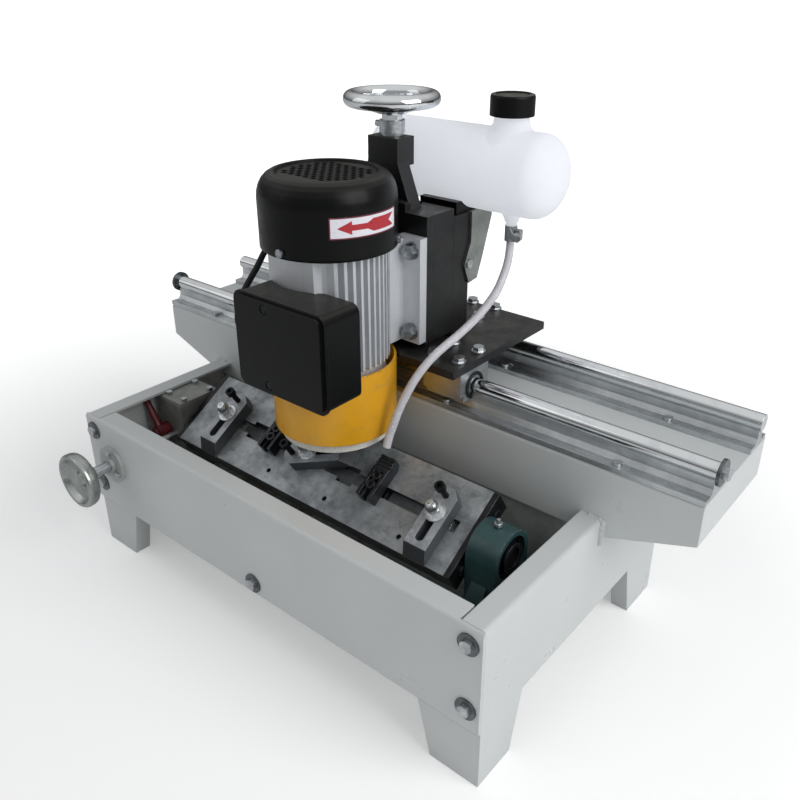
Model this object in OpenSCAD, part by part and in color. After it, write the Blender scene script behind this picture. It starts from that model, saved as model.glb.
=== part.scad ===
// Straight line knife grinder: a cup wheel head on a linear rail carriage over a tilting knife table.
// Millimetres, +Z up, +X along the rails, the panel with the small handwheel faces -Y.

/* [Base] */
// width over the two side frames
base_width = 530; // [480:1:560]
// height of the top edge of the front panel
panel_top = 168; // [155:1:175]
// height of the bottom edge of the front panel
panel_bottom = 62; // [50:1:70]
// sheet steel thickness of the base
sheet = 3; // [2.5:0.5:4]
// leg width at the floor
leg_foot = 50; // [40:1:60]
// leg width where it meets the side plate
leg_top = 65; // [55:1:75]

/* [Rail bed] */
// distance from the panel face to the front of the rail bed
bed_front = 184; // [184:1:200]
// depth of the rail bed
bed_depth = 144; // [144:1:160]
// length of the rail bed and of the rails
bed_length = 700; // [660:1:800]
// height of the rail bed
bed_top = 219; // [214:1:230]
// height of the bed end plates
bed_end = 40; // [30:1:46]

/* [Rails and carriage] */
// diameter of the rail shafts
rod_d = 16; // [14:0.5:18]
// height of the shaft axis over the bed
rail_height = 25; // [24:0.5:28]
// foot width of a rail support
rail_base = 38; // [36:1:40]
// distance between the two shafts
rail_span = 104; // [100:1:108]
// side length of a bearing block
block_size = 45; // [43:0.5:50]
// distance between the block centres along the front rail
block_pitch = 172; // [150:1:176]
// distance between the block centres along the rear rail
rear_pitch = 70; // [52:1:120]
// carriage plate length
plate_length = 222; // [220:1:250]
// carriage plate depth
plate_depth = 160; // [158:1:170]
// carriage plate thickness
plate_thick = 8; // [6:0.5:10]

/* [Head] */
// diameter over the motor fins
motor_d = 108; // [104:1:110]
// diameter of the fan cover
fan_cover_d = 124; // [120:1:124]
// distance between the motor foot bolts across
foot_span = 100; // [96:1:104]
// distance between the motor foot bolts up the column
foot_pitch = 80; // [70:1:84]
// diameter of the wheel guard
guard_d = 120; // [118:1:121]
// diameter of the cup wheel
wheel_d = 108; // [100:1:110]
// depth of the cup wheel
wheel_depth = 40; // [34:1:44]
// diameter of the motor shaft
shaft_d = 15; // [13:0.5:17]
// width of the slide and column
column_width = 120; // [116:1:124]
// diameter of the lifting handwheel
lift_wheel_d = 90; // [80:1:100]
// diameter of the lifting screw
lift_screw_d = 12; // [10:0.5:13]

/* [Table] */
// table length over its end plates
table_length = 384; // [340:1:386]
// table width
table_width = 90; // [84:1:92]
// table thickness
table_thick = 25; // [24:0.5:26]
// table tilt as drawn
table_tilt = 32; // [0:1:60]
// trunnion diameter
trunnion_d = 20; // [18:0.5:22]
// width of the table slot
slot_width = 12; // [10:0.5:13]
// width of the wide part of the table slot
slot_head = 20; // [19:0.5:22]
// diameter of the tilt handwheel
tilt_wheel_d = 61; // [55:1:70]
// diameter of the worm shaft
worm_shaft_d = 12; // [10:0.5:13]

/* [Coolant] */
// tank diameter
tank_d = 78; // [74:1:80]
// tank length over the domes
tank_length = 218; // [200:1:230]
// filler cap diameter
cap_d = 41; // [38:1:44]
// outside diameter of the clear hose
hose_d = 8; // [6:0.5:9]

/* [Clearances] */
// radial clearance of a running shaft
run_gap = 0.05; // [0.02:0.01:0.1]
// gap between flat sliding faces
slide_gap = 0.2; // [0.1:0.05:0.4]
// radial clearance of a bolt hole
hole_gap = 0.3; // [0.2:0.05:0.6]

/* [Hidden] */
$fn = 48;

// base levels, y measured back from the outer face of the front panel
drive_room = 62;
bearing_room = 84;
half = max(base_width, table_length + drive_room + bearing_room) / 2;
bed_back = bed_front + bed_depth;
wheel_reach = 48.5;
floor_z = panel_bottom + 4;
floor_top = floor_z + sheet;
bed_under = bed_top - sheet;
flange_low = panel_top - 19;
fold_w = 22;
bed_end_z = bed_top - bed_end;
frame_back = bed_back - sheet;
wall_y = bed_front + sheet;

// rails and carriage levels
rod_z = bed_top + rail_height;
rail_y = [bed_front + rail_base / 2, bed_front + rail_base / 2 + rail_span];
rod_over = 1.5;
block_top_z = rod_z + 20;
block_low = 13;
plate_low = block_top_z;
plate_z = plate_low + plate_thick;
car_y = (rail_y[0] + rail_y[1]) / 2 - 10;
bolt_x = 15;
bolt_y = 16;
washer_d = 14;
y_front = (wheel_reach - max(bed_back, rail_y[1] + block_size / 2, rail_y[1] + bolt_y + washer_d / 2)) / 2;
rail_screw_in = 85;
rail_screw_x = [-half - 4, -rail_screw_in, rail_screw_in, half + 4];
rail_screw_y = rail_base / 2 - 6;

// column and slide levels
col_half = column_width / 2;
col_front = car_y - 16;
col_back = car_y + 10;
col_top = plate_z + 124;
dove_front = col_front - 15;
dove_tip = 30;
dove_root = 22;
screw_y = car_y - 35;
channel = 11;
slide_z = plate_z + 6;
slide_top = slide_z + 126;
plate_front = car_y - 57;
plate_back = plate_front + 8;
neck_top = slide_top + 37;
boss_top = slide_top + 63;
lift_travel = 60;

// motor levels
motor_y = car_y - 123;
foot_mid = plate_z + 61;
motor_low = foot_mid - 71;
motor_high = foot_mid + 53;
pad_y = motor_y - 49;
foot_face = plate_front - 10;
foot_bolts = [for (x = [-1, 1]) for (z = [-1, 1]) [x * foot_span / 2, foot_mid + z * foot_pitch / 2]];
fan_low = motor_high - 1;
fan_high = fan_low + 65;
guard_top = motor_low + 12;
guard_wall = 2.5;
cover_wall = 2.5;
shield_d = fan_cover_d - 2 * cover_wall - 0.4;
wheel_low = foot_mid - 137;
guard_low = wheel_low + 10;
wheel_high = wheel_low + wheel_depth;
rotor_r = 32;

// terminal box
box_x0 = -33;
box_x1 = 75;
box_front = pad_y - 34;
box_back = pad_y + 6;
box_low = foot_mid - 65;
box_high = foot_mid + 23;
lid_front = box_front - 6;
gland_y = box_front + 18;
gland_z = foot_mid - 31;

// table levels
pillow_h = 70;
pillow_r = 26;
bearing_d = 42;
ring_d = 28;
tilt_z = floor_top + 5 + pillow_h;
tilt_y = motor_y - 8;
table_left = drive_room - half;
table_right = table_left + table_length;
table_mid = (table_left + table_right) / 2;
bearing_x = table_right + 20;
end_plate = 6;
slab_left = table_left + end_plate;
slab_right = table_right - end_plate;
table_face = table_thick / 2;
slot_neck = 7;
slot_deep = 15;
slot_left = table_mid - 0.42 * table_length;
slot_right = table_mid + 0.45 * table_length;

// tilt drive levels
worm_x = table_left - 19;
worm_z = tilt_z - 24;
box_right = table_left - 4;
box_left = box_right - 43;
gear_front = tilt_y - 32;
gear_back = tilt_y + 20;
gear_top = tilt_z + 20;
cover_t = 4;
wheel_half = 6;
flange_d = 42;
flange_t = 4.5;
flange_ring = 15;
flange_screws = [90, 210, 330];
lever_x = table_left - 33;
lever_z = tilt_z - 19.5;

// tank levels
tank_r = tank_d / 2;
tank_y = car_y + 25;
tank_z = col_top + 1 + tank_r;
tank_left = -68;
tank_right = tank_left + tank_length;
spout_x = 98;
neck_x = 92;
spout_drop = 11;
neck_rise = 16;
spout_low = tank_z - tank_r - spout_drop;
neck_high = tank_z + tank_r + neck_rise;
cap_low = tank_z + tank_r + 12;
cap_high = cap_low + 19;

// hose and cable points, y measured from the panel face
hose_pts = [[98, 270, 386], [98, 270, 374], [99, 268, 362], [101, 262, 350], [102, 254, 339],
    [103, 244, 329], [102, 232, 319], [100, 219, 310], [97, 206, 302], [94, 192, 295],
    [91, 178, 289], [88, 164, 282], [85, 152, 273], [82, 142, 262], [79, 134, 249],
    [76, 128, 236], [74, 123, 223], [72, 119, 211], [71, 116, 200]];
cable_pts = [[-41, 57, 302], [-45, 57, 302], [-55, 58, 304], [-64, 62, 308], [-70, 67, 315],
    [-73, 73, 324], [-73, 80, 334], [-71, 87, 344], [-68, 94, 355], [-66, 101, 366], [-65, 110, 375],
    [-65, 121, 381], [-65, 133, 384], [-65, 146, 385], [-65, 160, 383], [-65, 174, 381], [-65, 187, 380],
    [-65, 200, 380]];

// shared helpers
module m() { translate([0, y_front, 0]) children(); }
module box(x0, x1, y0, y1, z0, z1) { translate([x0, y0, z0]) cube([x1 - x0, y1 - y0, z1 - z0]); }
module cx(x0, x1, y, z, d) { translate([x0, y, z]) rotate([0, 90, 0]) cylinder(h = x1 - x0, d = d); }
module cy(x, y0, y1, z, d) { translate([x, y0, z]) rotate([-90, 0, 0]) cylinder(h = y1 - y0, d = d); }
module cz(x, y, z0, z1, d) { translate([x, y, z0]) cylinder(h = z1 - z0, d = d); }
module hexz(x, y, z0, z1, af) { translate([x, y, z0]) cylinder(h = z1 - z0, d = af / cos(30), $fn = 6); }
module hexy(x, y0, y1, z, af) {
    translate([x, y0, z]) rotate([-90, 0, 0]) cylinder(h = y1 - y0, d = af / cos(30), $fn = 6);
}
module hexx(x0, x1, y, z, af) {
    translate([x0, y, z]) rotate([0, 90, 0]) cylinder(h = x1 - x0, d = af / cos(30), $fn = 6);
}
// flat sheet in the XZ plane, from y0 to y1
module sheet_xz(y0, y1, pts) {
    translate([0, y1, 0]) rotate([90, 0, 0]) linear_extrude(y1 - y0) polygon(pts);
}
// flat sheet in the YZ plane, from x0 to x1
module sheet_yz(x0, x1, pts) {
    translate([x0, 0, 0]) rotate([90, 0, 90]) linear_extrude(x1 - x0) polygon(pts);
}
// rounded outside corner of a fold along X, cut from the edge at y0, z1 facing -Y and +Z
module fold_cut_x(x0, x1, y0, z1, r) {
    difference() {
        box(x0, x1, y0 - 1, y0 + r, z1 - r, z1 + 1);
        cx(x0 - 1, x1 + 1, y0 + r, z1 - r, 2 * r);
    }
}
// rounded outside corner of a fold along Y, on the side given by s
module fold_cut_y(s, x, y0, y1, z1, r) {
    difference() {
        translate([s > 0 ? x - r : x - 1, y0, z1 - r]) cube([r + 1, y1 - y0, r + 1]);
        cy(x - s * r, y0 - 1, y1 + 1, z1 - r, 2 * r);
    }
}
// box given on the side s of the middle plane
module sbox(s, x0, x1, y0, y1, z0, z1) {
    translate([s > 0 ? x0 : -x1, y0, z0]) cube([x1 - x0, y1 - y0, z1 - z0]);
}
// box whose four edges along Y are rounded
module rbox(x0, x1, y0, y1, z0, z1, r) {
    box(x0 + r, x1 - r, y0, y1, z0, z1);
    box(x0, x1, y0, y1, z0 + r, z1 - r);
    for (x = [x0 + r, x1 - r]) for (z = [z0 + r, z1 - r]) cy(x, y0, y1, z, 2 * r);
}
// table frame: origin on the tilt axis, y up the slope, z out of the table face
module tt() { m() translate([0, tilt_y, tilt_z]) rotate([table_tilt, 0, 0]) children(); }

// base sheet metal
panel_screw = [[-half + 13, panel_top - 17], [-half + 13, panel_bottom + 22], [0, panel_bottom + 12],
    [half - 13, panel_top - 17], [half - 13, panel_bottom + 22]];
module front_panel() {
    color("#c9d0cc") m() difference() {
        union() {
            box(-half, half, 0, sheet, panel_bottom, panel_top);
            box(-half + fold_w + 2, half - fold_w - 2, 0, fold_w, panel_top - sheet, panel_top);
            box(-half + leg_top + 4, half - leg_top - 4, 0, 16, panel_bottom, panel_bottom + sheet);
        }
        fold_cut_x(-half - 1, half + 1, 0, panel_top, 4);
        for (p = panel_screw) cy(p[0], -1, sheet + 1, p[1], 6 + 2 * hole_gap);
        cy(worm_x, -1, sheet + 1, worm_z, worm_shaft_d + 2);
        for (a = flange_screws)
            cy(worm_x + flange_ring * cos(a), -1, sheet + 1, worm_z + flange_ring * sin(a),
                3.4 + 2 * hole_gap);
    }
}
leg_lip = 18;
module side_frame(s) {
    knee = panel_bottom + 1;
    difference() {
        union() {
            sbox(s, half - sheet, half, sheet, bed_front, panel_bottom, panel_top);
            sbox(s, half - sheet, half, bed_front, wall_y, panel_bottom, flange_low);
            sbox(s, half - sheet, half, wall_y, frame_back, panel_bottom, bed_under);
            sbox(s, half - fold_w, half, sheet, bed_front, panel_top - sheet, panel_top);
            sbox(s, half - 28, half, sheet, 2 * sheet, panel_bottom, panel_top - sheet);
            sbox(s, half - 40, half, frame_back - sheet, frame_back, panel_bottom, bed_under);
            sheet_yz(s > 0 ? half - sheet : -half, s > 0 ? half : -half + sheet,
                [[sheet, knee], [sheet, 0], [leg_foot, 0], [leg_top, knee]]);
            sheet_yz(s > 0 ? half - sheet : -half, s > 0 ? half : -half + sheet, [[frame_back, knee],
                [frame_back, 0], [frame_back - leg_foot, 0], [frame_back - leg_top, knee]]);
            for (y = [sheet, frame_back - sheet]) sheet_xz(y, y + sheet, [[s * half, knee], [s * half, 0],
                [s * (half - leg_foot), 0], [s * (half - leg_top), knee]]);
            // lips along the inner edges of the legs
            sheet_yz(s > 0 ? half - leg_lip : -half, s > 0 ? half : -half + leg_lip,
                [[leg_foot - sheet, 0], [leg_foot, 0], [leg_top, knee], [leg_top - sheet, knee]]);
            sheet_yz(s > 0 ? half - leg_lip : -half, s > 0 ? half : -half + leg_lip,
                [[frame_back - leg_foot, 0], [frame_back - leg_foot + sheet, 0],
                    [frame_back - leg_top + sheet, knee], [frame_back - leg_top, knee]]);
            for (y = [sheet, frame_back - leg_lip]) sheet_xz(y, y + leg_lip, [[s * (half - leg_foot), 0],
                [s * (half - leg_foot + sheet), 0], [s * (half - leg_top + sheet), knee],
                [s * (half - leg_top), knee]]);
        }
        fold_cut_y(s, s * half, sheet - 1, bed_front + 0.01, panel_top, 4);
        for (p = panel_screw) if (p[0] * s > 0) cy(p[0], 0, 3 * sheet, p[1], 6 + 2 * hole_gap);
    }
}
module side_frame_left() { color("#c9d0cc") m() side_frame(-1); }
module side_frame_right() { color("#c9d0cc") m() side_frame(1); }
module rail_bed() {
    color("#c9d0cc") m() difference() {
        union() {
            box(-bed_length / 2, bed_length / 2, bed_front, bed_back, bed_under, bed_top);
            sheet_xz(bed_front, wall_y, [[-bed_length / 2, bed_top], [-bed_length / 2, bed_end_z],
                [-half, flange_low], [half, flange_low], [bed_length / 2, bed_end_z],
                [bed_length / 2, bed_top]]);
            box(-bed_length / 2, bed_length / 2, frame_back, bed_back, bed_end_z, bed_top);
            for (s = [-1, 1])
                sbox(s, bed_length / 2 - sheet, bed_length / 2, bed_front, bed_back, bed_end_z, bed_top);
        }
        fold_cut_x(-bed_length / 2 - 1, bed_length / 2 + 1, bed_front, bed_top, 4);
        for (y = rail_y) for (x = rail_screw_x) for (k = [-1, 1])
            cz(x, y + k * rail_screw_y, bed_under - 1, bed_top + 1, 5 + 2 * hole_gap);
    }
}
module trough_tray() {
    color("#b4bbb8") m() difference() {
        union() {
            box(-half + sheet, half - sheet, 2 * sheet, wall_y + sheet, floor_z, floor_top);
            box(-half + sheet, half - sheet, wall_y, wall_y + sheet, floor_z, flange_low + 12);
            box(-half + 42, half - 42, sheet, 2 * sheet, floor_z, floor_z + 16);
            box(bearing_x - 21, bearing_x + 21, tilt_y - 66, tilt_y + 66, floor_top, floor_top + 5);
        }
        cy(0, 0, 3 * sheet, panel_screw[2][1], 6 + 2 * hole_gap);
        for (k = [-1, 1]) cz(bearing_x, tilt_y + k * 47.5, floor_z - 1, floor_top + 6, 10 + 2 * hole_gap);
    }
}

// rails
module rail_support(y) {
    difference() {
        translate([0, y, bed_top]) sheet_yz(-bed_length / 2, bed_length / 2, [[-rail_base / 2, 0],
            [rail_base / 2, 0], [rail_base / 2, 5], [rail_screw_y - 5, 5], [5, 10], [5, rail_height - 4],
            [-5, rail_height - 4], [-5, 10], [5 - rail_screw_y, 5], [-rail_base / 2, 5]]);
        cx(-bed_length / 2 - 1, bed_length / 2 + 1, y, rod_z, rod_d);
        for (k = [-1, 1]) for (i = [-1, 0, 1])
            box(-bed_length / 2 - 1, bed_length / 2 + 1, y + k * (rail_screw_y + 2.5 * i) - 0.6,
                y + k * (rail_screw_y + 2.5 * i) + 0.6, bed_top + 4.3, bed_top + 6);
        for (x = rail_screw_x) for (k = [-1, 1])
            cz(x, y + k * rail_screw_y, bed_top - 1, bed_top + 6, 5 + 2 * hole_gap);
    }
}
module rail_supports() { color("#b9bdc0") m() for (y = rail_y) rail_support(y); }
module rail_shafts() {
    color("#d5d8da") m() for (y = rail_y) difference() {
        cx(-bed_length / 2 - rod_over, bed_length / 2 + rod_over, y, rod_z, rod_d);
        for (s = [-1, 1]) if (y == rail_y[0])
            cx(s > 0 ? bed_length / 2 - 18 : -bed_length / 2 - 2,
                s > 0 ? bed_length / 2 + 2 : 18 - bed_length / 2, y, rod_z, 6);
    }
}

// screws, washers and the grease nipple of the base
module base_fasteners() {
    color("#c2c6c8") m() {
        for (p = panel_screw) {
            cy(p[0], -1.6, 0, p[1], 20);
            cy(p[0], -5, -1.6, p[1], 11);
            cy(p[0], -1.6, 3 * sheet, p[1], 6);
        }
        for (y = rail_y) for (x = rail_screw_x) for (k = [-1, 1]) {
            cz(x, y + k * rail_screw_y, bed_top + 5, bed_top + 7.8, 8.5);
            cz(x, y + k * rail_screw_y, bed_under - 3, bed_top + 5, 5);
        }
        for (s = [-1, 1]) {
            x = s * (bed_length / 2 + rod_over);
            cx(s > 0 ? x : x - 3, s > 0 ? x + 3 : x, rail_y[0], rod_z, 24);
            hexx(s > 0 ? x + 3 : x - 8, s > 0 ? x + 8 : x - 3, rail_y[0], rod_z, 10);
            cx(s > 0 ? x - 16 : x - 3, s > 0 ? x + 3 : x + 16, rail_y[0], rod_z, 6);
        }
        for (k = [-1, 1]) {
            hexz(bearing_x, tilt_y + k * 47.5, floor_top + 22, floor_top + 29, 17);
            cz(bearing_x, tilt_y + k * 47.5, floor_z - 8, floor_top + 22, 10);
            hexz(bearing_x, tilt_y + k * 47.5, floor_z - 8, floor_z, 17);
        }
        for (a = flange_screws) {
            cy(worm_x + flange_ring * cos(a), -7, -flange_t, worm_z + flange_ring * sin(a), 7);
            cy(worm_x + flange_ring * cos(a), -7, 6, worm_z + flange_ring * sin(a), 3.4);
        }
        for (p = cover_holes) {
            cz(p[0], p[1], gear_top, gear_top + 4, 7);
            cz(p[0], p[1], gear_top - 12, gear_top, 4);
        }
        cz(bearing_x, tilt_y, tilt_z + pillow_r - 3, tilt_z + pillow_r + 3, 5);
        hexz(bearing_x, tilt_y, tilt_z + pillow_r + 1, tilt_z + pillow_r + 4, 7);
        translate([bearing_x, tilt_y, tilt_z + pillow_r + 4]) cylinder(h = 4, d1 = 5, d2 = 3.4);
    }
}

// right hand bearing
module pillow_block() {
    px = bearing_x;
    color("#2f4a45") m() difference() {
        union() {
            cx(px - 16, px + 16, tilt_y, tilt_z, 2 * pillow_r);
            box(px - 16, px + 16, tilt_y - pillow_r, tilt_y + pillow_r, floor_top + 12, tilt_z);
            box(px - 19, px + 19, tilt_y - 63.5, tilt_y + 63.5, floor_top + 5, floor_top + 22);
            sheet_yz(px - 8, px + 8, [[tilt_y - 50, floor_top + 21], [tilt_y + 50, floor_top + 21],
                [tilt_y + pillow_r - 1, tilt_z - 20], [tilt_y - pillow_r + 1, tilt_z - 20]]);
        }
        cx(px - 20, px + 20, tilt_y, tilt_z, bearing_d);
        for (k = [-1, 1]) {
            cz(px, tilt_y + k * 47.5, floor_top, floor_top + 23, 10 + 2 * hole_gap);
            cz(px, tilt_y + k * 47.5, floor_top + 22, tilt_z, 24);
        }
        cz(px, tilt_y, tilt_z + pillow_r - 8, tilt_z + pillow_r + 1, 5);
    }
}
module bearing_insert() {
    px = bearing_x;
    color("#3a3d40") m() difference() {
        union() {
            cx(px - 12, px + 12, tilt_y, tilt_z, bearing_d);
            cx(px - 15, px + 17, tilt_y, tilt_z, ring_d);
        }
        cx(px - 20, px + 20, tilt_y, tilt_z, trunnion_d + 2 * run_gap);
        for (s = [-1, 1]) difference() {
            cx(s > 0 ? px + 10 : px - 13, s > 0 ? px + 13 : px - 10, tilt_y, tilt_z, bearing_d - 6);
            cx(px - 14, px + 14, tilt_y, tilt_z, ring_d);
        }
    }
}

// worm drive on the left
cover_holes = [[box_left + 12, gear_front + 8], [box_right - 3.75, gear_front + 8],
    [box_left + 12, gear_back - 8], [box_right - 3.75, gear_back - 8]];
module gear_housing() {
    color("#8d9290") m() difference() {
        union() {
            box(box_left, box_right, gear_front, gear_back, floor_top, gear_top - cover_t);
            box(box_left - 8, box_right, gear_front - 6, gear_back + 6, floor_top, floor_top + 8);
        }
        box(worm_x - wheel_half - 1.5, worm_x + wheel_half + 1.5, tilt_y - 18, tilt_y + 18,
            worm_z - 1, gear_top);
        cy(worm_x, tilt_y - 18, tilt_y + 18, worm_z, 22);
        cy(worm_x, gear_front - 1, gear_back + 1, worm_z, worm_shaft_d + 2 * run_gap);
        cx(box_left + 5, box_right + 1, tilt_y, tilt_z, trunnion_d + 2 * run_gap);
        cy(lever_x, gear_front - 1, gear_front + 10, lever_z, 8);
        for (p = cover_holes) cz(p[0], p[1], gear_top - 13, gear_top, 4 + 2 * hole_gap);
    }
    color("#b0b4b6") m() cy(lever_x, gear_front - 18, gear_front + 10, lever_z, 8);
}
module gear_cover() {
    color("#9a9f9c") m() difference() {
        box(box_left, box_right, gear_front, gear_back, gear_top - cover_t, gear_top);
        for (p = cover_holes) cz(p[0], p[1], gear_top - 5, gear_top + 1, 4 + 2 * hole_gap);
    }
}
module worm_flange() {
    color("#a7acab") m() difference() {
        union() {
            cy(worm_x, -flange_t, 0, worm_z, flange_d);
            cy(worm_x, -8, sheet + 5, worm_z, worm_shaft_d + 1.8);
            cy(worm_x, -8, -flange_t, worm_z, 19);
        }
        cy(worm_x, -15, sheet + 6, worm_z, worm_shaft_d + 2 * run_gap);
        for (a = flange_screws)
            cy(worm_x + flange_ring * cos(a), -7, 1, worm_z + flange_ring * sin(a), 3.4 + 2 * hole_gap);
    }
}
module worm_shaft() {
    color("#b8bcbe") m() difference() {
        union() {
            cy(worm_x, -wheel_reach + 9, gear_back - 1, worm_z, worm_shaft_d);
            cy(worm_x, tilt_y - 15, tilt_y + 15, worm_z, 16.4);
        }
        for (i = [-4:4]) difference() {
            cy(worm_x, tilt_y + i * 3.2 - 0.9, tilt_y + i * 3.2 + 0.9, worm_z, 18);
            cy(worm_x, tilt_y - 16, tilt_y + 16, worm_z, 13.2);
        }
    }
}
module tilt_handwheel() {
    r = tilt_wheel_d / 2;
    color("#a9adaa") m() translate([worm_x, -wheel_reach, worm_z]) rotate([-90, 0, 0]) difference() {
        rotate_extrude($fn = 72) polygon([[0, 7], [6, 7], [7.5, 8], [8, 10], [11, 10.5], [r - 9, 6.5],
            [r - 6.5, 3], [r - 5, 0.7], [r - 3.5, 0], [r - 1.5, 0.7], [r - 0.4, 2.3], [r, 4.5], [r - 0.3, 9],
            [r - 1.4, 12], [r - 3.5, 14], [r - 6.5, 14.8], [11, 16], [9, 17], [9, 22], [8, 23], [0, 23]]);
        translate([0, 0, 9]) cylinder(h = 40, d = worm_shaft_d);
    }
}
module lock_lever() {
    color("#8d1f2a") m() translate([lever_x, gear_front - 1, lever_z]) rotate([90, 0, 0]) difference() {
        union() {
            cylinder(h = 16, d = 16);
            cylinder(h = 19, d = 12);
            translate([0, 0, 10]) rotate([0, 0, 124]) rotate([0, 90, 0]) cylinder(h = 36, d1 = 11, d2 = 7);
            translate([0, 0, 10]) rotate([0, 0, 124]) translate([36, 0, 0]) sphere(d = 8.5);
        }
        translate([0, 0, -1]) cylinder(h = 19, d = 8 + 2 * run_gap);
    }
}

// tilting table
module table() {
    color("#5b5d60") tt() difference() {
        box(slab_left, slab_right, -table_width / 2, table_width / 2, -table_face, table_face);
        box(slot_left, slot_right, -slot_width / 2, slot_width / 2, table_face - slot_neck - 1,
            table_face + 1);
        box(slot_left, slot_right, -slot_head / 2, slot_head / 2, table_face - slot_deep,
            table_face - slot_neck);
        for (x = slot_doors) box(x - slot_head / 2, x + slot_head / 2, -slot_head / 2, slot_head / 2,
            table_face - slot_neck - 1, table_face + 1);
        for (s = [-1, 1]) for (k = [-1, 1])
            cx(s > 0 ? slab_right - 14 : slab_left - 1, s > 0 ? slab_right + 1 : slab_left + 14,
                k * 30, 0, 6 + 2 * hole_gap);
        for (k = [-0.13, 0.08, 0.33])
            cz(table_mid + k * table_length, -32, table_face - 6, table_face + 1, 5);
    }
}
module trunnions() {
    color("#26282b") tt() {
        difference() {
            union() {
                box(slab_right, table_right, -table_width / 2, table_width / 2, -table_face, table_face);
                cx(slab_right, table_right + 34, 0, 0, trunnion_d);
            }
            for (k = [-1, 1]) cx(slab_right - 1, table_right + 1, k * 30, 0, 6 + 2 * hole_gap);
        }
        difference() {
            union() {
                box(table_left, slab_left, -table_width / 2, table_width / 2, -table_face, table_face);
                cx(box_left + 6, slab_left, 0, 0, trunnion_d);
            }
            for (k = [-1, 1]) cx(table_left - 1, slab_left + 1, k * 30, 0, 6 + 2 * hole_gap);
        }
    }
}
module worm_wheel() {
    color("#b08d4a") tt() difference() {
        cx(worm_x - wheel_half, worm_x + wheel_half, 0, 0, 31);
        cx(worm_x - wheel_half - 1, worm_x + wheel_half + 1, 0, 0, trunnion_d);
        for (i = [0:31]) rotate([i * 360 / 32, 0, 0])
            box(worm_x - wheel_half - 1, worm_x + wheel_half + 1, -0.8, 0.8, 13.6, 17);
    }
}
module table_screws() {
    color("#3a3c3f") tt() for (k = [-1, 1]) {
        cx(table_right, table_right + 3, k * 30, 0, 10);
        cx(slab_right - 12, table_right, k * 30, 0, 6);
        cx(table_left - 3, table_left, k * 30, 0, 10);
        cx(table_left, slab_left + 12, k * 30, 0, 6);
    }
}

// work clamps and gauge blocks, drawn in the table frame at x, turned by a about the stud
bar_t = 14;
bar_w = 25;
module at_slot(x, a) { tt() translate([x, 0, table_face]) rotate([0, 0, a]) children(); }
module clamp_bar(x, a) {
    color("#6a6c6f") at_slot(x, a) translate([0, 0, slide_gap]) difference() {
        sheet_yz(-bar_w / 2, bar_w / 2, [[-46, 0], [24, 0], [27, 3], [27, bar_t], [-36, bar_t]]);
        box(-4.5, 4.5, -26, 4, -1, bar_t + 1);
        cz(0, -26, -1, bar_t + 1, 9);
        cz(0, 4, -1, bar_t + 1, 9);
        cz(0, 18, -1, bar_t + 1, 6);
        for (s = [-1, 1]) translate([s * bar_w / 2, 27, -1]) rotate([0, 0, 45])
            cube([11, 11, 40], center = true);
    }
}
module clamp_bolts(x, a) {
    color("#d4d7d9") at_slot(x, 0) {
        box(-slot_head / 2 + 0.5, slot_head / 2 - 0.5, -slot_head / 2 + 0.5, slot_head / 2 - 0.5,
            -slot_deep + 0.5, -slot_neck - slide_gap);
        cz(0, 0, -slot_neck - 1, bar_t + 17, 8);
        cz(0, 0, bar_t + slide_gap, bar_t + slide_gap + 1.8, 20);
        hexz(0, 0, bar_t + slide_gap + 1.8, bar_t + slide_gap + 8.8, 13);
    }
    color("#1d1e20") at_slot(x, a) difference() {
        union() {
            cz(0, 18, slide_gap, bar_t + 14, 6);
            cz(0, 18, bar_t + 14, bar_t + 20, 10);
        }
        hexz(0, 18, bar_t + 17, bar_t + 21, 5);
    }
}
// places along the table, from its middle, as shares of its length
clamp_left_x = table_mid - 0.35 * table_length;
clamp_middle_x = table_mid - 0.025 * table_length;
clamp_right_x = table_mid + 0.4 * table_length;
gauge_left_x = table_mid - 0.165 * table_length;
gauge_right_x = table_mid + 0.2 * table_length;
slot_doors = [table_mid - 0.25 * table_length, table_mid + 0.1 * table_length];
clamp_turn = 117;
module clamp_left_bar() { clamp_bar(clamp_left_x, 0); }
module clamp_left_bolts() { clamp_bolts(clamp_left_x, 0); }
module clamp_middle_bar() { clamp_bar(clamp_middle_x, clamp_turn); }
module clamp_middle_bolts() { clamp_bolts(clamp_middle_x, clamp_turn); }
module clamp_right_bar() { clamp_bar(clamp_right_x, 0); }
module clamp_right_bolts() { clamp_bolts(clamp_right_x, 0); }
gauge_w = 18;
gauge_t = 14;
module gauge_block(x) {
    color("#3b3d40") at_slot(x, 0) translate([0, 0, slide_gap]) difference() {
        sheet_yz(-gauge_w / 2, gauge_w / 2, [[-16, 0], [24, 0], [30, 5], [30, gauge_t], [-16, gauge_t]]);
        box(-3.5, 3.5, -17, 13, -1, gauge_t + 1);
        box(-5.5, 5.5, -17, 13, gauge_t - 5, gauge_t + 1);
        for (i = [0:2]) box(-gauge_w, gauge_w, 17.5 + 4 * i, 19.5 + 4 * i, gauge_t - 1.5, gauge_t + 1);
    }
}
module gauge_screws(x) {
    color("#1d1e20") at_slot(x, 0) {
        box(-8, 8, -slot_head / 2 + 0.5, slot_head / 2 - 0.5, -slot_deep + 0.5, -slot_neck - slide_gap);
        for (v = [-2.5, 8]) difference() {
            union() {
                cz(0, v, v < 0 ? -slot_neck - 1 : slide_gap, gauge_t - 4, 6);
                cz(0, v, gauge_t - 5 + slide_gap, gauge_t + 1, 9.6);
            }
            hexz(0, v, gauge_t - 2, gauge_t + 2, 5);
        }
    }
}
module gauge_left() { gauge_block(gauge_left_x); }
module gauge_left_screws() { gauge_screws(gauge_left_x); }
module gauge_right() { gauge_block(gauge_right_x); }
module gauge_right_screws() { gauge_screws(gauge_right_x); }

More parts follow.
